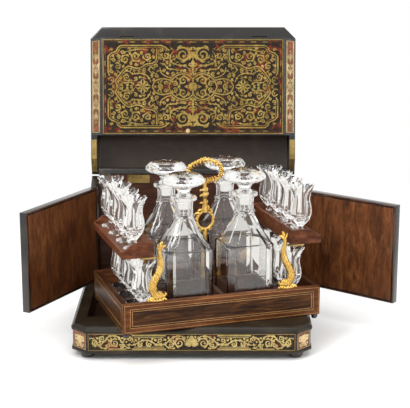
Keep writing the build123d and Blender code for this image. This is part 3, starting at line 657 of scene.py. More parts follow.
# ---------------- marquetry designs
def flap_design(half_x, half_y):
    """Arabesque of the flap: a notched strapwork frame, a waisted cartouche and foliage between them."""
    work = Marquetry()
    top, right = half_y - 12.0, half_x - 11.0
    blocked = []

    def strapwork(points, width, echo=0.0, bend=True):
        curve = smooth_curve(points, 8, False) if bend else [
            (x0 + (x1 - x0) * t, y0 + (y1 - y0) * t)
            for (x0, y0), (x1, y1) in zip(points, points[1:]) for t in (0.04, 0.35, 0.65, 0.96)]
        work.line(curve, width)
        blocked.extend((x, y, 1.6) for x, y in curve[::3])
        if echo:
            inner = []
            for (x0, y0), (x1, y1) in zip(curve, curve[1:]):
                length = hypot(x1 - x0, y1 - y0) or 1.0
                inner.append((x0 + echo * (y1 - y0) / length, y0 - echo * (x1 - x0) / length))
            work.line(inner[2:-2], 0.75)

    strapwork([(37, top - 8), (43, top - 3), (50, top), (right - 20, top), (right - 15, top - 4),
               (right - 13, top - 9), (right - 5, top - 12), (right, top - 17), (right, 22), (right - 3, 17)],
              1.9, 3.1, False)
    strapwork([(57, top - 5), (57, top - 13), (58, 42), (63, 37), (74, 35), (82, 30), (90, 29), (100, 32),
               (108, 28), (117, 17), (122, 9), (119, 2), (121, 0)], 1.9, 3.0)
    strapwork([(35, 10), (48, 12.5), (59, 9), (64, 0)], 1.9)
    strapwork([(38, 0), (34, 9), (27, 16), (17, 20), (7, 18), (0, 12)], 1.9, 2.8)
    strapwork([(52, 30), (50, 22), (42, 16), (34, 14)], 1.5)
    strapwork([(right, 12), (right - 6, 15), (right - 9, 9), (right - 4, 4), (right, 5)], 1.5)
    scrolls = (
        # x, y, radius, start angle, turns, ribbon width, leaves
        (15.5, 50.0, 12.2, 0.6, 1.6, 3.1, 5), (15.0, 9.5, 7.4, 3.4, -1.3, 2.3, 4),
        (28.5, 4.5, 4.6, 0.2, 1.2, 1.8, 3), (90.0, 47.0, 7.6, 3.6, 1.5, 2.2, 5),
        (72.0, 47.5, 6.2, 0.3, -1.4, 1.9, 4), (106.5, 43.0, 6.8, 2.6, -1.4, 2.0, 4),
        (119.0, 32.0, 5.4, 0.9, 1.2, 1.7, 3), (52.0, 0.0, 5.0, 1.0, 1.1, 1.8, 0),
        (104.0, 15.0, 5.8, 3.6, 1.3, 1.8, 4), (43.0, 49.0, 6.0, 0.6, -1.3, 1.8, 4),
        (right - 6, 24.0, 3.6, 1.8, -1.2, 1.4, 2),
    )
    for x, y, radius, start, turns, width, leaves in scrolls:
        work.acanthus(x, y, radius, start, turns, width, leaves)
        blocked.append((x, y, radius * 1.05))
    for points, leaves, size in (
        ([(30, 56), (36, 47), (33, 38), (24, 34), (14, 33), (5, 27)], 6, 6.5),
        ([(52, 37), (44, 34), (38, 28), (28, 27), (18, 25)], 5, 5.5),
        ([(66, 7), (72, 17), (83, 21), (94, 20), (100, 24)], 5, 5.5),
        ([(92, 3), (98, 7), (109, 6), (115, 10)], 3, 5.0),
        ([(60, 26), (66, 31), (69, 26), (64, 20)], 3, 4.5),
        ([(70, 57), (82, 59), (96, 57), (108, 54)], 4, 4.0),
    ):
        blocked += work.vine(points, 1.6, leaves, size)
    # Palmette between the great scrolls, its pendant, the heart of the cartouche and the side rosettes.
    for angle in (1.57, 1.15, 0.7, 0.2):
        work.leaf(0.3, 46, angle, 10.5, 2.4, -0.45)
    for y, size in ((41, 4.4), (35, 3.8), (29.5, 3.2), (24.5, 2.6)):
        work.leaf(0, y, -0.75, size * 1.5, size * 0.55, -0.7)
    work.strip([(0, 47), (0, 33), (0, 20)], [1.6, 1.1, 0.3])
    for angle in (0.0, 0.5, 1.05):
        work.leaf(0.3, 0.3, angle, 6.5, 1.8, 0.5)
    work.leaf(0.0, 12, -1.57, 8, 2.6, 0.0)
    for i in range(8):
        angle = pi / 8 + pi / 4 * i
        work.leaf(79 + 2.2 * cos(angle), 2.2 * sin(angle), angle - 0.35, 10.5 if i % 2 else 8.5,
                  2.2, 0.8)
    work.dot(79, 0, 1.7)
    blocked += [(0, 45, 5), (79, 0, 12)]
    work.fill(right - 2, top - 2, blocked, 4.6, 1.9, 1.4)
    for i in range(13):
        work.leaf(6 + 9.4 * i, top + 5.2, 0.2 if i % 2 else 2.95, 7.5, 1.0, -0.25 if i % 2 else 0.25)
    for i in range(7):
        work.leaf(right + 4.6, 4 + 9.4 * i, 1.4 if i % 2 else 4.9, 7.0, 0.9, 0.25 if i % 2 else -0.25)
    return work.mirrored()


def frieze_design(length, height):
    """Base frieze: a palmette, scrolling foliage and double straps, mirrored about the middle."""
    work = Marquetry()
    half_x, edge = length / 2, 0.45 * height
    blocked = [(0, 0, 6)]
    for i in range(8):
        work.leaf(0.4, -2, -0.5 + 2.07 * i / 7, 10.5, 2.1, 0.35)
    work.leaf(0.3, -3, -1.2, 7, 2.0, 0.9)
    for row in (-1, 1):
        work.line([(37, row * edge), (60, row * edge), (86, row * edge)], 1.7)
        work.line([(40, row * (edge - 3)), (60, row * (edge - 3)), (83, row * (edge - 3))], 0.9)
    work.line([(94, -edge), (106, -edge), (120, -edge)], 1.5)
    blocked += [(x, row * edge, 2.5) for x in range(37, 88, 3) for row in (-1, 1)]
    for points, leaves, size in (
        ([(6, 3), (14, edge - 1), (25, edge - 2), (32, 3), (40, -3), (50, -3.5), (58, 1), (66, 3.5), (75, 1),
          (84, -4), (92, -3)], 13, 5.6),
        ([(24, -edge + 1), (33, -edge + 2), (38, -4)], 3, 4.6),
        ([(88, -edge + 1), (96, -6), (101, 1), (108, edge - 1), (118, edge - 1), (124, 4), (131, -3),
          (141, -6)], 10, 5.6),
        ([(122, -edge + 1), (130, -edge + 2), (135, -3), (141, 5), (147, 6)], 6, 4.8),
        ([(88, edge - 1), (95, 6), (98, 2)], 3, 4.4),
    ):
        blocked += work.vine(points, 1.7, leaves, size, 0.05)
    for x, y, radius, start, turns in (
        (17.5, -1.0, 7.8, 2.9, -1.5), (30.0, -3.5, 4.4, 1.0, 1.2), (45.0, 2.0, 4.2, 4.0, 1.2),
        (61.5, -3.0, 4.0, 1.2, -1.2), (75.0, -3.5, 3.6, 2.0, 1.2), (89.0, 4.0, 4.2, 4.4, -1.2),
        (111.0, -1.0, 6.6, 2.2, -1.5),
        (101.5, -6.5, 3.4, 0.5, 1.1), (129.0, 5.5, 4.6, 4.0, 1.3), (121.5, -4.5, 3.6, 1.8, 1.1),
        (139.5, -1.0, 4.2, 1.4, -1.3),
    ):
        work.acanthus(x, y, radius, start, turns, 1.9 if radius > 5 else 1.5, 4)
        blocked.append((x, y, radius * 0.9))
    work.fill(half_x - 3, edge, blocked, 2.6, 1.5, 1.2)
    work.vertices = [(min(x, half_x), max(-edge - 0.8, min(edge + 0.8, y)), z) for x, y, z in work.vertices]
    return work.mirrored(True, False)


def chain_design(length, width):
    """Upright string of lozenges and husks for the canted corners, x along its length."""
    work = Marquetry()
    step = width * 1.55
    count = int((length / 2 - step * 0.4) / step)
    for i in range(count + 1):
        x = i * step
        work.strip([(x - step * 0.3, 0), (x, 0), (x + step * 0.3, 0)], [0.2, width * 0.36, 0.2])
        for side in (-1, 1):
            work.leaf(x - step * 0.1, side * width * 0.28, side * 0.25, step * 0.36, width * 0.13,
                      -side * 0.5)
        for side in (-1, 1):
            if i < count:
                work.leaf(x + step * 0.3, side * width * 0.08, side * 0.55, step * 0.5, width * 0.2,
                          side * 0.4)
                work.leaf(x + step * 0.5, side * width * 0.36, pi - side * 0.4, step * 0.45, width * 0.16,
                          side * 0.5)
        work.dot(x + step * (0.5 if i < count else 0.42), 0, width * 0.09)
    work.mirrored(True, False)
    for side in (-1, 1):
        work.line([(-length / 2, side * width / 2), (length / 2, side * width / 2)], width * 0.11)
    return work


# ---------------- the base
def on_tray(x, y, z):
    """A place in the tray's own frame."""
    return tray_frame @ Matrix.Translation((x, y, z))


def inside_recess(point):
    return (abs(point.x) < (BASE_WIDTH / 2 - RIM_SIDE + 0.5) * MM
            and point.y > (-BASE_DEPTH / 2 + RIM_FRONT - 0.5) * MM
            and point.y < (BASE_DEPTH / 2 - RIM_REAR + 0.5) * MM)


def run_bead(name, z, inset, radius):
    """A polished bead mitred round the plan of the base, with its canted front corners."""
    x, front, back = BASE_WIDTH / 2 - inset, -BASE_DEPTH / 2 + inset, BASE_DEPTH / 2 - inset
    cant = BASE_CANT - inset * (2 - sqrt(2))
    plan = [(-x, back), (-x, front + cant), (-x + cant, front),
            (x - cant, front), (x, front + cant), (x, back)]
    sides = 10
    vertices = []
    for i, (px, py) in enumerate(plan):
        before = Vector(plan[i - 1]) if i else Vector((px, py + 1))
        after = Vector(plan[(i + 1) % len(plan)])
        here = Vector((px, py))
        run_in, run_out = (here - before).normalized(), (after - here).normalized()
        out_in, out_out = Vector((run_in.y, -run_in.x)), Vector((run_out.y, -run_out.x))
        mitre = (out_in + out_out).normalized()
        mitre /= max(0.3, mitre.dot(out_out))
        # The plan runs anticlockwise seen from below, so its right-hand side is outwards.
        for k in range(sides):
            angle = tau * k / sides
            offset = -mitre * radius * cos(angle)
            vertices.append((px + offset.x, py + offset.y, z + radius * sin(angle)))
    mesh = mesh_from(name, vertices, skin(len(plan), sides, False, True))
    add_piece(name, mesh, [ebony_base], "case", world_frame, (), 40)


def build_base():
    dress("base_frame", [ebony_base, lining], SOFT_EDGE,
          lambda centre, normal: 1 if inside_recess(centre) and abs(normal.z) < 0.5 else 0)
    dress("base_floor", [lining])
    dress("bun_feet", [ebony])

    band_height = BASE_HEIGHT - CORNICE_HEIGHT - BEAD_HEIGHT
    middle = BEAD_HEIGHT + band_height / 2
    front_y = -BASE_DEPTH / 2 + BEAD_OUT
    front_half = BASE_WIDTH / 2 - BEAD_OUT - BASE_CANT
    front = face_frame(world_frame, (0, front_y, middle), (1, 0, 0), (0, 0, 1))
    veneer("base_front_shell", front_half - 3, band_height / 2 - 2.2, shell, "case", front)
    fillet_lines("base_front_fillets", [(front_half - 2.6, band_height / 2 - 1.8)], 0.7, brass_inlay_painted_dark,
                 "case", front)
    frieze_design(2 * front_half - 9, band_height - 5.5).lay("base_front_inlay", brass_frieze, "case", front)

    for number, (z, inset, radius) in enumerate((
        (BEAD_HEIGHT - 0.2, 0.5, 0.75), (BASE_HEIGHT - CORNICE_HEIGHT - 0.3, 0.6, 0.85),
        (BASE_HEIGHT - CORNICE_SLOPE - 1.2, 0.0, 0.8), (BASE_HEIGHT - 0.9, CORNICE_SLOPE - 0.6, 0.7),
    )):
        run_bead(f"base_bead_{number + 1}", z, inset, radius)

    half = BASE_CANT / sqrt(2)
    for side in (-1, 1):
        centre = (side * (BASE_WIDTH / 2 - BEAD_OUT - BASE_CANT / 2), front_y + BASE_CANT / 2, middle)
        cant = face_frame(world_frame, centre, (1, side, 0), (0, 0, 1))
        veneer(f"base_cant_shell_{side + 1}", half - 2.5, band_height / 2 - 2.2, shell_light, "case", cant)
        fillet_lines(f"base_cant_fillets_{side + 1}", [(half - 2.2, band_height / 2 - 1.8)], 0.7, brass_pale,
                     "case", cant)
        work = Marquetry()
        work.acanthus(5, 3.5, 5.5, 2.6, 1.4, 1.9, 4)
        work.acanthus(4, -6, 4, 0.6, -1.3, 1.5, 4)
        for angle in (1.57, 1.1, 0.5, -0.2, -1.57):
            work.leaf(0.6, 0, angle, 9, 2.2, 0.3)
        work.mirrored(True, False).lay(f"base_cant_inlay_{side + 1}", brass_pale, "case", cant)
        wall = face_frame(world_frame, (side * (BASE_WIDTH / 2 - BEAD_OUT), BASE_CANT / 2, middle),
                          (0, side, 0), (0, 0, 1))
        fillet_lines(f"base_side_fillets_{side + 1}", [
            (BASE_DEPTH / 2 - BASE_CANT / 2 - 6, band_height / 2 - 4),
            (BASE_DEPTH / 2 - BASE_CANT / 2 - 8, band_height / 2 - 6),
        ], 0.6, brass_inlay_painted_dark, "case", wall)


# ---------------- the case and its doors
def build_case():
    dress("back_panel", [ebony], 0.5)
    dress("back_lining", [lining_back], 0.4)
    dress("case_hinge_leaves", [brass])
    for name, matrix in door_frames.items():
        side = -1 if name == "door_left" else 1
        inner = -side * (DOOR_PIN_OFFSET + DOOR_THICKNESS)
        turn = DOOR_OPEN[name]
        inward = Vector((-side * cos(turn), -side * sin(turn), 0))

        def paint(centre, normal, inward=inward):
            return 1 if normal.dot(inward) > 0.9 else 0

        dress(name, [ebony, rosewood[name]], 0.6, paint)
        dress(f"{name}_hinges", [brass])
        half_x, half_z = DOOR_LENGTH / 2, CASE_HEIGHT / 2
        inner_face = face_frame(matrix, (inner, -half_x, half_z), (0, -side, 0), (0, 0, 1))
        back = face_frame(matrix, (-side * DOOR_PIN_OFFSET, -half_x, half_z), (0, side, 0), (0, 0, 1))
        fillet_lines(f"{name}_banding", [(half_x - 3.2, half_z - 3.6)], 2.6, ebony, name, inner_face)
        fillet_lines(f"{name}_fillets", [(half_x - gap, half_z - gap) for gap in (12, 15)], 0.8, brass_inlay_painted_dark,
                     name, back)


# ---------------- lid and flap
def build_lid():
    inner_half = CASE_WIDTH / 2 - LID_WALL + 0.4
    to_local = lid_frame.inverted()

    def paint(centre, normal):
        local = to_local @ centre
        inside = (abs(local.x) < inner_half and -LID_INNER_FRONT < local.y < -LID_INNER_BACK
                  and 0.2 - HINGE_DROP < local.z < LID_RISE - LID_INNER_TOP)
        return 1 if inside else 0

    dress("lid_shell", [ebony, lid_inside], SOFT_EDGE, paint)
    dress("lid_side_plates", [brass])
    dress("lid_hinge_knuckles", [brass_old])
    top = face_frame(lid_frame, (0, -LID_LENGTH / 2, LID_RISE), (1, 0, 0), (0, 1, 0))
    half_x, half_y = CASE_WIDTH / 2, LID_LENGTH / 2
    fillet_lines("lid_top_fillets", [(half_x - 24, half_y - 24), (half_x - 28, half_y - 28)], 1.0,
                 brass_inlay_painted_dark, "lid", top)
    work = Marquetry()
    for x, y, radius, start, turns, width in (
        (13, 22, 11, 3.4, 1.5, 2.6), (36, 12, 9, 0.6, -1.5, 2.3), (55, 5, 6, 3.0, 1.3, 1.9),
        (28, 34, 6, 1.1, 1.3, 1.8),
    ):
        work.acanthus(x, y, radius, start, turns, width)
    for angle in (0.0, 0.5, 1.05, 1.57):
        work.leaf(1.5, 1.5, angle, 20, 4.6, 0.2)
    veneer("lid_top_shell", *LID_CARTOUCHE, shell, "lid", top)
    fillet_lines("lid_cartouche_fillets", [LID_CARTOUCHE], 1.4, brass_inlay_painted_dark, "lid", top)
    work.mirrored().lay("lid_top_inlay", brass_inlay_painted_dark, "lid", top)


def build_flap():
    dress_all(ebony, "ebonised_wood", 0.5, "flap", "flap_stiles", "flap_rail")
    dress("flap_hinges", [brass_old])
    dress("flap_lock", [brass], 0.6)
    half_x = CASE_WIDTH / 2 - FLAP_DEPTH
    half_z = FLAP_HEIGHT / 2
    front = face_frame(flap_frame, (0, -FLAP_DEPTH, -half_z), (1, 0, 0), (0, 0, 1))
    veneer("flap_border_shell", half_x - 3.6, half_z - 3.4, shell_red, "flap", front, 0.03)
    veneer("flap_shell", half_x - 8.2, half_z - 7.6, shell, "flap", front, 0.06)
    fillet_lines("flap_fillets", [(half_x - 3.2, half_z - 3.0)], 1.0, brass_inlay_painted_dark, "flap", front)
    flap_design(half_x, half_z).lay("flap_inlay", brass_inlay_painted_dark, "flap", front)
    half = FLAP_DEPTH / sqrt(2)
    for side in (-1, 1):
        centre = (side * (CASE_WIDTH / 2 - FLAP_DEPTH / 2), -FLAP_DEPTH / 2, -half_z)
        cant = face_frame(flap_frame, centre, (1, side, 0), (0, 0, 1))
        upright = face_frame(flap_frame, centre, (0, 0, 1), (-1, -side, 0))
        veneer(f"flap_cant_shell_{side + 1}", half - 4.2, half_z - 5, shell_light, "flap", cant)
        chain = chain_design(2 * half_z - 12, 2 * half - 10.6)
        chain.lay(f"flap_cant_inlay_{side + 1}", brass_pale, "flap", upright)
        fillet_lines(f"flap_cant_fillets_{side + 1}", [(half - 4.0, half_z - 4.6)], 0.8, brass_pale,
                     "flap", cant)


# ---------------- glassware
def ring_points(kind, size, cant, z, per_side=4):
    """One level of a bottle: eight sides, flat for a cut square or octagon, round for a circle."""
    points = []
    if kind == "round":
        corners = 8 * per_side
        for i in range(corners):
            angle = pi / 8 + tau * i / corners
            points.append((size * cos(angle), size * sin(angle), z))
        return points
    inner = size - cant
    outline = [(size, inner), (inner, size), (-inner, size), (-size, inner),
               (-size, -inner), (-inner, -size), (inner, -size), (size, -inner)]
    for i in range(8):
        x0, y0 = outline[i]
        x1, y1 = outline[(i + 1) % 8]
        for step in range(per_side):
            t = step / per_side
            points.append((x0 + (x1 - x0) * t, y0 + (y1 - y0) * t, z))
    return points


def loft_rings(name, rings):
    """Join rings of the same count into a closed skin."""
    vertices = [point for ring in rings for point in ring]
    return mesh_from(name, vertices, skin(len(rings), len(rings[0])))


def octagon(radius, z):
    """Regular octagon whose flat sides stand at the radius."""
    return ring_points("cut", radius, radius * (2 - sqrt(2)), z)


def decanter_mesh():
    """Square bottle with cut corners, a swept shoulder, a collar at the foot of the neck and a round lip."""
    half, cant = DECANTER_WIDTH / 2, DECANTER_CANT
    base, shoulder, neck, top = DECANTER_BASE, DECANTER_SHOULDER, DECANTER_NECK, DECANTER_TOP

    def cut(size, corner, z):
        return ring_points("cut", size, corner, z)

    def disc(radius, z):
        return ring_points("round", radius, 0, z)

    outer = [
        cut(half - 3, cant, base), cut(half - 0.9, cant, base + 0.7), cut(half, cant, base + 2.4),
        cut(half, cant, shoulder - 1.4), cut(half - 0.7, cant + 0.4, shoulder + 0.3),
        cut(half - 2.2, cant + 0.6, shoulder + 1.6), cut(29.6, 9.8, shoulder + 9),
        cut(24.2, 9.3, shoulder + 18),
        cut(19.4, 8.5, shoulder + 27), cut(16.0, 7.2, shoulder + 35),
        octagon(13.9, neck - 3), octagon(12.9, neck - 0.6), disc(15.4, neck), disc(16.0, neck + 1.4),
        disc(15.4, neck + 3.2), octagon(12.4, neck + 4.2), octagon(12.1, neck + 14), octagon(12.6, top - 8),
        disc(16.0, top - 6), disc(19.2, top - 4.0), disc(19.2, top - 1.3), disc(18.0, top),
    ]
    inner = [
        disc(9.6, top), disc(8.6, top - 2), disc(8.5, neck + 2), octagon(9.6, neck - 5),
        cut(15.4, 7.2, shoulder + 26), cut(22.6, 8.4, shoulder + 13), cut(half - 6, cant, shoulder - 0.5),
        cut(half - 5, cant, shoulder - 4), cut(half - 5, cant, base + 12), cut(half - 8, cant, base + 9),
    ]
    mesh = loft_rings("decanter", outer + inner)
    # Above the shoulder the bottle takes its second material, the crystal with the painted white glow.
    for polygon in mesh.polygons:
        polygon.material_index = int(polygon.center.z > shoulder - 0.5)
    return mesh


def lobed_ring(radius, z, lobes, depth, lift=0.0, per_lobe=12):
    """A level of full rounded flutes that meet in sharp grooves, at the same count whatever the depth."""
    points = []
    for i in range(lobes * per_lobe):
        angle = tau * i / (lobes * per_lobe)
        swell = 2 * abs(sin(lobes * angle / 2)) - 1
        reach = radius + depth * swell
        wave = -cos(lobes * angle)
        points.append((reach * cos(angle), reach * sin(angle), z + lift * wave))
    return points


def stopper_mesh():
    """Brilliant-cut stopper: round plug, fluted trumpet and a head whose facets interlock."""
    lip, sides = DECANTER_TOP, 16
    full, table = STOPPER_RADIUS, STOPPER_TABLE
    levels = (
        # radius, height above the lip, half steps turned
        (7.4, -18, 0), (8.1, -17.2, 0), (8.3, 0.02, 0), (11.4, 0.02, 0), (11.5, 1.4, 0), (10.8, 2.5, 0),
        (8.6, 4.8, 0), (8.8, 8.0, 1), (12.2, 12.4, 0), (18.8, 16.4, 1), (26.4, 18.4, 0), (full, 21.6, 1),
        (full, 24.8, 0), (27.2, 29.6, 1), (table, 32.6, 0), (15.0, STOPPER_HEIGHT - 0.3, 1),
        (8.0, STOPPER_HEIGHT, 0),
    )
    vertices = []
    faces = []
    for radius, height, turned in levels:
        for i in range(sides):
            angle = tau * (i + 0.5 * turned) / sides
            vertices.append((radius * cos(angle), radius * sin(angle), lip + height))
    for level in range(len(levels) - 1):
        low, high = level * sides, (level + 1) * sides
        drift = levels[level + 1][2] - levels[level][2]
        for i in range(sides):
            j = (i + 1) % sides
            if drift == 0:
                faces.append((low + i, low + j, high + j, high + i))
            elif drift > 0:
                faces.append((low + i, low + j, high + i))
                faces.append((low + j, high + j, high + i))
            else:
                faces.append((low + i, high + j, high + i))
                faces.append((low + i, low + j, high + j))
    faces.append(tuple(reversed(range(sides))))
    last = (len(levels) - 1) * sides
    faces.append(tuple(range(last, last + sides)))
    return mesh_from("stopper", vertices, faces)


def glass_mesh():
    """Fluted tulip, waisted below a scalloped rim, on a short stem and a cut octagonal foot."""
    height, rim, lobes = GLASS_HEIGHT, GLASS_RIM, 10
    rings = []
    for radius, z, depth in (
        (12.4, 0, 0.0), (14.2, 0.4, 0.5), (14.4, 2.2, 0.6),
        (13.0, 3.2, 0.6), (8.2, 4.4, 0.5), (5.0, 6.6, 0.2),
        (4.1, 9.6, 0.0), (4.0, 12.4, 0.0), (4.9, 14.6, 0.2), (8.6, 18.6, 0.5), (12.2, 24.0, 0.8),
        (14.4, 30.0, 0.95), (15.0, 36.0, 1.0), (14.4, 43.0, 1.0), (12.9, 49.0, 0.95), (12.2, 53.5, 0.9),
        (12.4, 58.0, 0.9), (13.7, 63.4, 0.95), (15.8, 68.8, 1.0),
    ):
        rings.append(lobed_ring(radius, z, lobes, depth, 1.0 * max(0.0, z - 52) / 18))
    rings.append(lobed_ring(18.2, height - 3.0, lobes, 1.05, 1.5))
    rings.append(lobed_ring(rim - 0.7, height - 1.5, lobes, 1.0, 1.5))
    rings.append(lobed_ring(rim - 1.5, height - 1.3, lobes, 0.9, 1.5))
    for radius, z in ((16.0, 71.4), (13.6, 67.0), (11.4, 61.5), (10.7, 56.0), (10.8, 51.5), (12.2, 45.5),
                      (13.1, 39.0), (12.9, 33.0), (10.8, 28.0), (5.4, 24.2), (1.5, 23.2)):
        rings.append(lobed_ring(radius, z, lobes, 0.12 if z > 40 else 0.0))
    return loft_rings("glass", rings)


def build_glassware():
    bottle, mushroom, cup = decanter_mesh(), stopper_mesh(), glass_mesh()
    corners = (("front_left", -1, -1), ("front_right", 1, -1), ("rear_left", -1, 1), ("rear_right", 1, 1))
    for name, side, row in corners:
        x = TRAY_LENGTH / 2 + side * DECANTER_STEP_X / 2
        y = TRAY_DEPTH / 2 + row * DECANTER_STEP_Y / 2
        spot = on_tray(x, y, 0)
        for kind, mesh, looks, angle in (("decanter", bottle, [clear_crystal, neck_crystal_painted_glow], 12),
                                         ("stopper", mushroom, [stopper_crystal_painted_glow], 8)):
            node = f"{kind}_{name}"
            add_piece(f"{node}_cut", mesh.copy(), looks, node, spot, (node,), angle)
    rows = (("upper_left", SHELF_INSET, SHELF_SPACING, SHELF_TOP),
            ("upper_right", TRAY_LENGTH - SHELF_INSET, SHELF_SPACING, SHELF_TOP),
            ("lower_left", RACK_INSET, RACK_SPACING, RACK_TOP),
            ("lower_right", TRAY_LENGTH - RACK_INSET, RACK_SPACING, RACK_TOP))
    for row_name, x, spacing, z in rows:
        for i in range(4):
            y = TRAY_DEPTH / 2 + (i - 1.5) * spacing
            node = f"glass_{row_name}_{i + 1}"
            turned = Matrix.Rotation(GLASS_TURN * i, 4, "Z")
            spot = on_tray(x, y, z) @ turned
            add_piece(f"{node}_cut", cup.copy(), [cut_crystal_painted_glow], node, spot, (node,), 40)


# ---------------- gilt bronze
class Casting:
    """Overlapping tubes and balls, in millimetres, that are melted into one piece of gilt bronze."""

    def __init__(self):
        self.vertices = []
        self.faces = []

    def add(self, vertices, faces):
        first = len(self.vertices)
        self.vertices += vertices
        self.faces += [tuple(first + i for i in face) for face in faces]

    def tube(self, path, radii, sides, flat=1.0):
        """A closed tube along points in space, with a radius at each point.

        flat squeezes the section across the local y axis.
        """
        vertices = []
        count = len(path)
        for i, point in enumerate(path):
            ahead = Vector(path[min(i + 1, count - 1)]) - Vector(path[max(i - 1, 0)])
            along = ahead.normalized()
            side = Vector((0, 1, 0))
            up = along.cross(side).normalized()
            side = up.cross(along).normalized()
            for k in range(sides):
                angle = tau * k / sides
                offset = up * cos(angle) * radii[i] + side * sin(angle) * radii[i] * flat
                vertices.append(tuple(Vector(point) + offset))
        self.add(vertices, skin(count, sides))

    def ball(self, centre, size, sides=12, levels=8):
        """An ellipsoid with half sizes along x, y and z."""
        vertices = []
        for i in range(1, levels):
            polar = pi * i / levels
            for k in range(sides):
                angle = tau * k / sides
                vertices.append((centre[0] + size[0] * sin(polar) * cos(angle),
                                 centre[1] + size[1] * sin(polar) * sin(angle),
                                 centre[2] + size[2] * cos(polar)))
        faces = [(a, d, c, b) for a, b, c, d in skin(levels - 1, sides, False)]
        faces.append(tuple(range(sides)))
        faces.append(tuple(reversed(range((levels - 2) * sides, (levels - 1) * sides))))
        self.add(vertices, faces)

    def leaf(self, x, z, angle, length, width, depth=1.5):
        """A fleshy leaf in the plane of the handle, from a point, with its tip curled over."""
        path = []
        radii = []
        for i in range(7):
            share = i / 6
            turn = angle + 0.9 * share * share
            path.append((x + length * share * cos(turn), 0, z + length * share * sin(turn)))
            radii.append(0.35 + width * sin(pi * (0.12 + 0.8 * share)) ** 0.9)
        self.tube(path, radii, 10, depth)

    def melt(self, node, matrix):
        """Melt the lumps together and hang the casting on the tray in place of its CAD node."""
        rough = bpy.data.objects.new(node, mesh_from(node, self.vertices, self.faces))
        scene.collection.objects.link(rough)
        melt = rough.modifiers.new("melt", "REMESH")
        melt.mode = "VOXEL"
        melt.voxel_size = CASTING_VOXEL
        smooth = rough.modifiers.new("smooth", "SMOOTH")
        smooth.factor = 0.5
        smooth.iterations = 1
        done = bpy.data.meshes.new_from_object(rough.evaluated_get(bpy.context.evaluated_depsgraph_get()))
        bpy.data.objects.remove(rough)
        add_piece(f"{node}_cast", done, [gilt], "tray", matrix, (node,), 180)


def dolphin():
    """Dolphin, head down and tail up, with x towards the middle of the tray, from its seat at z = 0."""
    casting = Casting()
    spine = smooth_curve([(8.0, 0, 8.0), (2.0, 0, 7.0), (-4.2, 0, 12.5), (-5.6, 0, 22), (-1.4, 0, 33),
                          (4.6, 0, 44), (7.0, 0, 55), (5.4, 0, 66), (4.6, 0, 74), (7.5, 0, 82)], 6, False)
    count = len(spine) - 1
    radii = [1.9 + 5.0 * sin(pi * min(1, 0.1 + 1.0 * i / count)) ** 1.1 * (1 - 0.62 * i / count)
             for i in range(count + 1)]
    casting.tube(spine, radii, 16, 0.74)
    # Head: brow, snout with its upturned lip, lower jaw, eyes and gills.
    casting.ball((3.5, 0, 9.2), (6.8, 3.7, 5.8))
    casting.ball((9.5, 0, 7.4), (4.6, 3.0, 2.6))
    casting.ball((13.4, 0, 9.4), (1.8, 2.4, 2.8))
    casting.ball((9.0, 0, 3.6), (4.2, 2.6, 1.8))
    for side in (-1, 1):
        casting.ball((5.0, side * 3.0, 11.4), (1.6, 1.0, 1.6))
        for curl in range(4):
            casting.ball((-0.9 - 0.9 * curl, side * 2.9, 4.4 + 3.2 * curl), (1.1, 1.0, 2.4))
        fin = smooth_curve([(-1.0, side * 2.6, 18), (-5.0, side * 3.2, 23), (-9.8, side * 2.9, 28)], 5, False)
        casting.tube(fin, [1.8, 2.2, 2.5, 2.6, 2.6, 2.4, 2.1, 1.8, 1.4, 0.9, 0.4], 8, 0.5)
    # Crest along the back and rows of scales on both flanks.
    for i in range(5, count - 2, 2):
        x, _, z = spine[i]
        casting.ball((x - radii[i] * 0.95, 0, z + 0.6), (1.3, 0.9, 1.9), 8, 6)
        casting.ball((x + radii[i] * 0.95, 0, z + 0.2), (0.9, 1.5, 1.2), 8, 6)
    for i in range(4, count - 3):
        x, _, z = spine[i]
        for side in (-1, 1):
            for row in (-0.5, 0.5) if i % 2 else (-0.9, 0.0, 0.9):
                casting.ball((x + row * radii[i] * 0.8, side * radii[i] * 0.74 * cos(row * 0.9), z),
                             (1.0, 0.65, 1.05), 8, 6)
    # Tail: a tall flame, a lobe towards the middle and a short one outwards, each ribbed.
    for lobe, half in (([(5.5, 0, 74), (9.5, 0, 79), (15.5, 0, 80.5)], 2.3),
                       ([(6.0, 0, 78), (7.0, 0, 83), (9.6, 0, 87.6)], 2.5),
                       ([(5.0, 0, 75), (2.0, 0, 79), (1.6, 0, 84.5)], 1.7)):
        path = smooth_curve(lobe, 4, False)
        swell = [half * share for share in (1, 1.1, 1.05, 0.95, 0.75, 0.45)]
        casting.tube(path, [1.3, 1.8, *swell, 0.3], 10, 0.7)
        casting.tube(path, [0.8] * 8 + [0.3], 8, 2.4)
    # Foliate seat.
    casting.ball((0, 0, 1.2), (15.0, 3.7, 1.5), 20, 6)
    for i in range(-3, 4):
        for side in (-1, 1):
            casting.ball((i * 4.4, side * 1.4, 1.9), (1.9, 2.4, 1.9), 10, 6)
    casting.ball((-6.5, 0, 4.0), (5.0, 2.8, 3.2))
    casting.ball((-11.5, 0, 3.0), (3.2, 2.3, 2.4))
    return casting


def build_dolphins():
    for row, wall_y in (("front", TRAY_WALL / 2), ("rear", TRAY_DEPTH - TRAY_WALL / 2)):
        for side, x, flip in (("left", DOLPHIN_INSET, 1), ("right", TRAY_LENGTH - DOLPHIN_INSET, -1)):
            node = f"dolphin_{row}_{side}"
            seat = on_tray(x, wall_y, TRAY_HEIGHT) @ Matrix.Diagonal((flip, 1, 1, 1))
            dolphin().melt(node, seat)
    dress("shelf_brackets", [brass], 0.5)


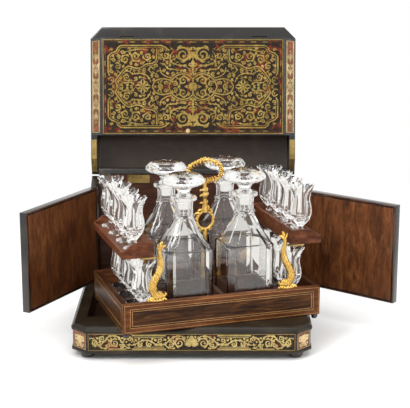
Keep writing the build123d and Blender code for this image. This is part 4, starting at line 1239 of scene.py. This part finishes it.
def build_handle():
    middle = on_tray(TRAY_LENGTH / 2, TRAY_DEPTH / 2, 0)
    bar = 2.3
    ring_mid = RING_RADIUS - bar - 0.6
    casting = Casting()
    ring = [(ring_mid * cos(a * pi / 24), 0, RING_CENTRE + ring_mid * 1.06 * sin(a * pi / 24))
            for a in range(49)]
    casting.tube(ring, [bar] * 49, 12, 1.25)
    for i in range(18):
        angle = tau * (i + 0.5) / 18
        reach = ring_mid + 1.7
        size = 1.35 if i % 2 else 1.9
        casting.ball((reach * cos(angle), 0, RING_CENTRE + reach * 1.06 * sin(angle)),
                     (size, 2.9, size), 10, 6)
    crown = RING_CENTRE + RING_RADIUS
    # Foliate shoulders over the ring, a vase and two knops up to the handle.
    for side in (-1, 1):
        facing = 0.5 * pi - side * 0.5 * pi
        for x, up, turn, length, width in ((8.5, -6.5, 0.9, 8, 1.7), (3.0, -1.0, 0.7, 8.5, 1.8),
                                           (2.0, 9.0, 1.0, 6.5, 1.5), (2.0, 22.0, 0.6, 6.0, 1.6),
                                           (2.0, 29.0, 0.9, 6.0, 1.5)):
            casting.leaf(side * x, crown + up, facing + side * turn, length, width)
        for angle in (0.35, -0.35):
            casting.leaf(side * 4, RING_CENTRE - RING_RADIUS + 1, facing + angle, 7, 1.5)
    stem = [(0, 0, crown + up) for up in (-3, 2, 6, 10, 14, 18, 21, 24, 27, 31, 35)] + [(0, 0, POST_TOP + 2)]
    casting.tube(stem, [5.6, 5.0, 4.2, 3.4, 2.9, 2.6, 4.0, 4.4, 3.0, 3.9, 2.8, 3.6], 14)
    for i in range(8):
        angle = tau * i / 8
        for z, reach in ((crown + 22.5, 3.6), (crown + 30.5, 3.2)):
            casting.ball((reach * cos(angle), reach * sin(angle), z), (1.3, 1.3, 1.9), 8, 6)
    low = RING_CENTRE - RING_RADIUS
    foot = [(0, 0, z) for z in (44, 47, 52, 60, low - 22, low - 12, low - 5, low + 2)]
    casting.tube(foot, [4.0, 4.0, 2.8, 2.4, 2.4, 2.8, 3.8, 3.0], 12)
    casting.melt("handle_post", middle)

    # Closed bail: a flat arch with a garland on top, and a leafy cross-piece below.
    casting = Casting()
    half_w = HANDLE_WIDTH / 2 - 2.6
    top_z = POST_TOP + HANDLE_HEIGHT - 3.2
    low_z = POST_TOP + 3.6
    rise = [(0.72, low_z + 3), (0.95, low_z + 9), (1, low_z + 17), (0.86, low_z + 25), (0.5, top_z - 3)]
    outline = [*rise, (0, top_z), *((-share, z) for share, z in reversed(rise)),
               (-0.35, low_z), (0, low_z - 0.6), (0.35, low_z)]
    arch = smooth_curve([(half_w * share, 0, z) for share, z in outline], 7)
    arch.append(arch[0])
    casting.tube(arch, [2.0 + 0.5 * cos(0.9 * i) for i in range(len(arch))], 12, 1.15)
    for i in range(2, len(arch) - 2, 3):
        x, _, z = arch[i]
        ahead = arch[i + 1]
        angle = atan2(ahead[2] - z, ahead[0] - x)
        crowned = z > top_z - 7 or z < low_z + 4
        casting.leaf(x, z, angle + 0.6, 6.2 if crowned else 4.6, 1.45 if crowned else 1.1)
        casting.leaf(x, z, angle - 0.75, 5.2 if crowned else 4.0, 1.3 if crowned else 1.0)
    for x, z, size in ((0, 1.6, 3.0), (-5.5, 1.0, 2.4), (5.5, 1.0, 2.4),
                       (-10.5, -0.8, 2.0), (10.5, -0.8, 2.0)):
        for petal in range(5):
            angle = tau * petal / 5 + x
            casting.ball((x + 0.62 * size * cos(angle), 0, top_z + z + 0.62 * size * sin(angle)),
                         (size * 0.5, 2.6, size * 0.5), 8, 6)
    for x, size in ((0, 3.2), (-7, 2.4), (7, 2.4), (-13, 2.0), (13, 2.0)):
        casting.ball((x, 0, low_z + 0.4), (size, 3.2, size * 0.85), 12, 8)
    casting.melt("carry_handle", middle)


# ---------------- the tray
def tray_side_panels():
    """Dark figured panels with boxwood stringing on the four outer faces of the tray."""
    half_z = TRAY_HEIGHT / 2
    sides = (
        ("front", (TRAY_LENGTH / 2, 0, half_z), (1, 0, 0), TRAY_LENGTH / 2),
        ("back", (TRAY_LENGTH / 2, TRAY_DEPTH, half_z), (-1, 0, 0), TRAY_LENGTH / 2),
        ("left", (0, TRAY_DEPTH / 2, half_z), (0, -1, 0), TRAY_DEPTH / 2),
        ("right", (TRAY_LENGTH, TRAY_DEPTH / 2, half_z), (0, 1, 0), TRAY_DEPTH / 2),
    )
    for name, centre, along, half in sides:
        face = face_frame(tray_frame, centre, along, (0, 0, 1))
        veneer(f"tray_{name}_panel", half - 11, half_z - 8.5, tray_panel, "tray", face, slot="mahogany")
        fillet_lines(f"tray_{name}_stringing", [(half - 10.6, half_z - 8.1), (half - 13.4, half_z - 10.9)],
                     0.9, boxwood, "tray", face)
        fillet_lines(f"tray_{name}_edging", [(half - 2.4, half_z - 2.2)], 0.8, boxwood, "tray", face)


def build_tray():
    dress_all(mahogany, "mahogany", SOFT_EDGE, "tray_front", "tray_back")
    dress_all(mahogany_side_painted_shade, "mahogany", SOFT_EDGE, "tray_left", "tray_right")
    dress_all(mahogany_shelf, "mahogany", 0.5, "shelf_left", "shelf_right")
    dress_all(lining, "dark_lining_wood", 0.3, "tray_floor", "bottle_divider", "divider_short_boards",
              "tray_partitions", "lower_rack_left", "lower_rack_right")
    dress("tray_feet", [ebony])
    tray_side_panels()


# ---------------- stage, lamps and camera
# Reach of the floor in metres, and where it starts to fade into the room and has faded.
FLOOR_REACH, SWEEP_INNER, SWEEP_OUTER = 3.0, 0.42, 0.95
FLOOR_GLOW = 0.03
ROOM_FRONT, ROOM_BEHIND, ROOM_ABOVE, ROOM_BESIDE, ROOM_BELOW = 0.07, 1.0, 1.5, 0.75, 0.6


def build_floor():
    """Pale floor that keeps the shadow and fades into the white background away from the object."""
    shader = Shader("white_sweep")
    shader.set(Roughness=0.9, Specular_IOR_Level=0.05, Base_Color=(0.8, 0.79, 0.78, 1))
    seen = shader.background_rays()
    glow = shader.add("Emission", {"Color": (1, 1, 1, 1)})
    shader.join(shader.combine("MULTIPLY", seen, FLOOR_GLOW), glow.inputs["Strength"])
    lit = shader.add("AddShader")
    shader.join(shader.surface.outputs["BSDF"], lit.inputs[0])
    shader.join(glow.outputs["Emission"], lit.inputs[1])
    away = shader.add("VectorMath", operation="LENGTH")
    shader.join(shader.add("NewGeometry").outputs["Position"], away.inputs[0])
    fade = shader.smooth_step(away.outputs["Value"], SWEEP_INNER, SWEEP_OUTER, 1.0)
    clear = shader.add("BsdfTransparent")
    shader.show(shader.blend(shader.combine("MULTIPLY", fade, seen), lit.outputs["Shader"],
                             clear.outputs["BSDF"]))

    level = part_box("bun_feet")[0].z
    corners = [(x, y, level) for x, y in rectangle_line(FLOOR_REACH, FLOOR_REACH)]
    mesh = mesh_from("floor", corners, [(0, 1, 2, 3)])
    mesh.materials.append(shader.material)
    floor = bpy.data.objects.new("floor", mesh)
    scene.collection.objects.link(floor)


def build_room():
    """White room. Its light is full from behind, above and beside the object, and low from the front."""
    scene.world = bpy.data.worlds.new("studio")
    graph = Graph(scene.world)
    split = graph.add("SeparateXYZ")
    graph.join(graph.add("TexCoord").outputs["Generated"], split.inputs["Vector"])
    x, y, z = split.outputs
    room = ROOM_FRONT
    for share in (
        graph.smooth_step(y, -0.1, 0.3, ROOM_BEHIND),
        graph.smooth_step(z, 0.4, 0.8, ROOM_ABOVE),
        graph.smooth_step(graph.combine("ABSOLUTE", x, 0.0), 0.55, 0.85, ROOM_BESIDE),
        graph.smooth_step(graph.combine("MULTIPLY", z, -1.0), 0.0, 0.3, ROOM_BELOW),
    ):
        room = graph.combine("MAXIMUM", room, share)
    level = graph.add("Mix", {"B": 1.0})
    graph.join(graph.background_rays(), level.inputs["Factor"])
    graph.join(room, level.inputs["A"])
    background = graph.tree.nodes["Background"].inputs
    graph.join(level.outputs["Result"], background["Strength"])
    background["Color"].default_value = (1, 1, 1, 1)


LAMP_TARGET = Vector((0, 0, 0.15))
LAMPS = (
    # name, place, size in metres, watts
    ("key", (-1.1, -1.4, 1.5), (0.9, 0.9), 26),
    ("fill", (1.5, -1.1, 0.9), (0.6, 1.0), 14),
    ("top", (0, -0.2, 1.9), (1.4, 1.0), 12),
)


def build_lights():
    for name, position, size, power in LAMPS:
        light = bpy.data.lights.new(name, "AREA")
        light.shape = "RECTANGLE"
        light.size, light.size_y = size
        light.energy = power
        lamp = bpy.data.objects.new(name, light)
        lamp.location = position
        lamp.rotation_euler = (LAMP_TARGET - Vector(position)).to_track_quat("-Z", "Y").to_euler()
        scene.collection.objects.link(lamp)


CAMERA_PLACE = (0.02234, -1.87319, 0.65355)
CAMERA_PITCH = radians(76.105)
CAMERA_YAW = radians(0.096)
CAMERA_LENS = 111.88


def build_camera():
    lens = bpy.data.cameras.new("camera")
    lens.lens = CAMERA_LENS
    lens.sensor_width = 36.0
    camera = bpy.data.objects.new("camera", lens)
    camera.location = CAMERA_PLACE
    camera.rotation_euler = (CAMERA_PITCH, 0, CAMERA_YAW)
    scene.collection.objects.link(camera)
    scene.camera = camera


build_base()
build_case()
build_lid()
build_flap()
dress("flap_escutcheon", [brass_pale])
build_tray()
build_dolphins()
build_handle()
build_glassware()
build_floor()
build_room()
build_lights()
build_camera()
scene.view_settings.view_transform = "Standard"
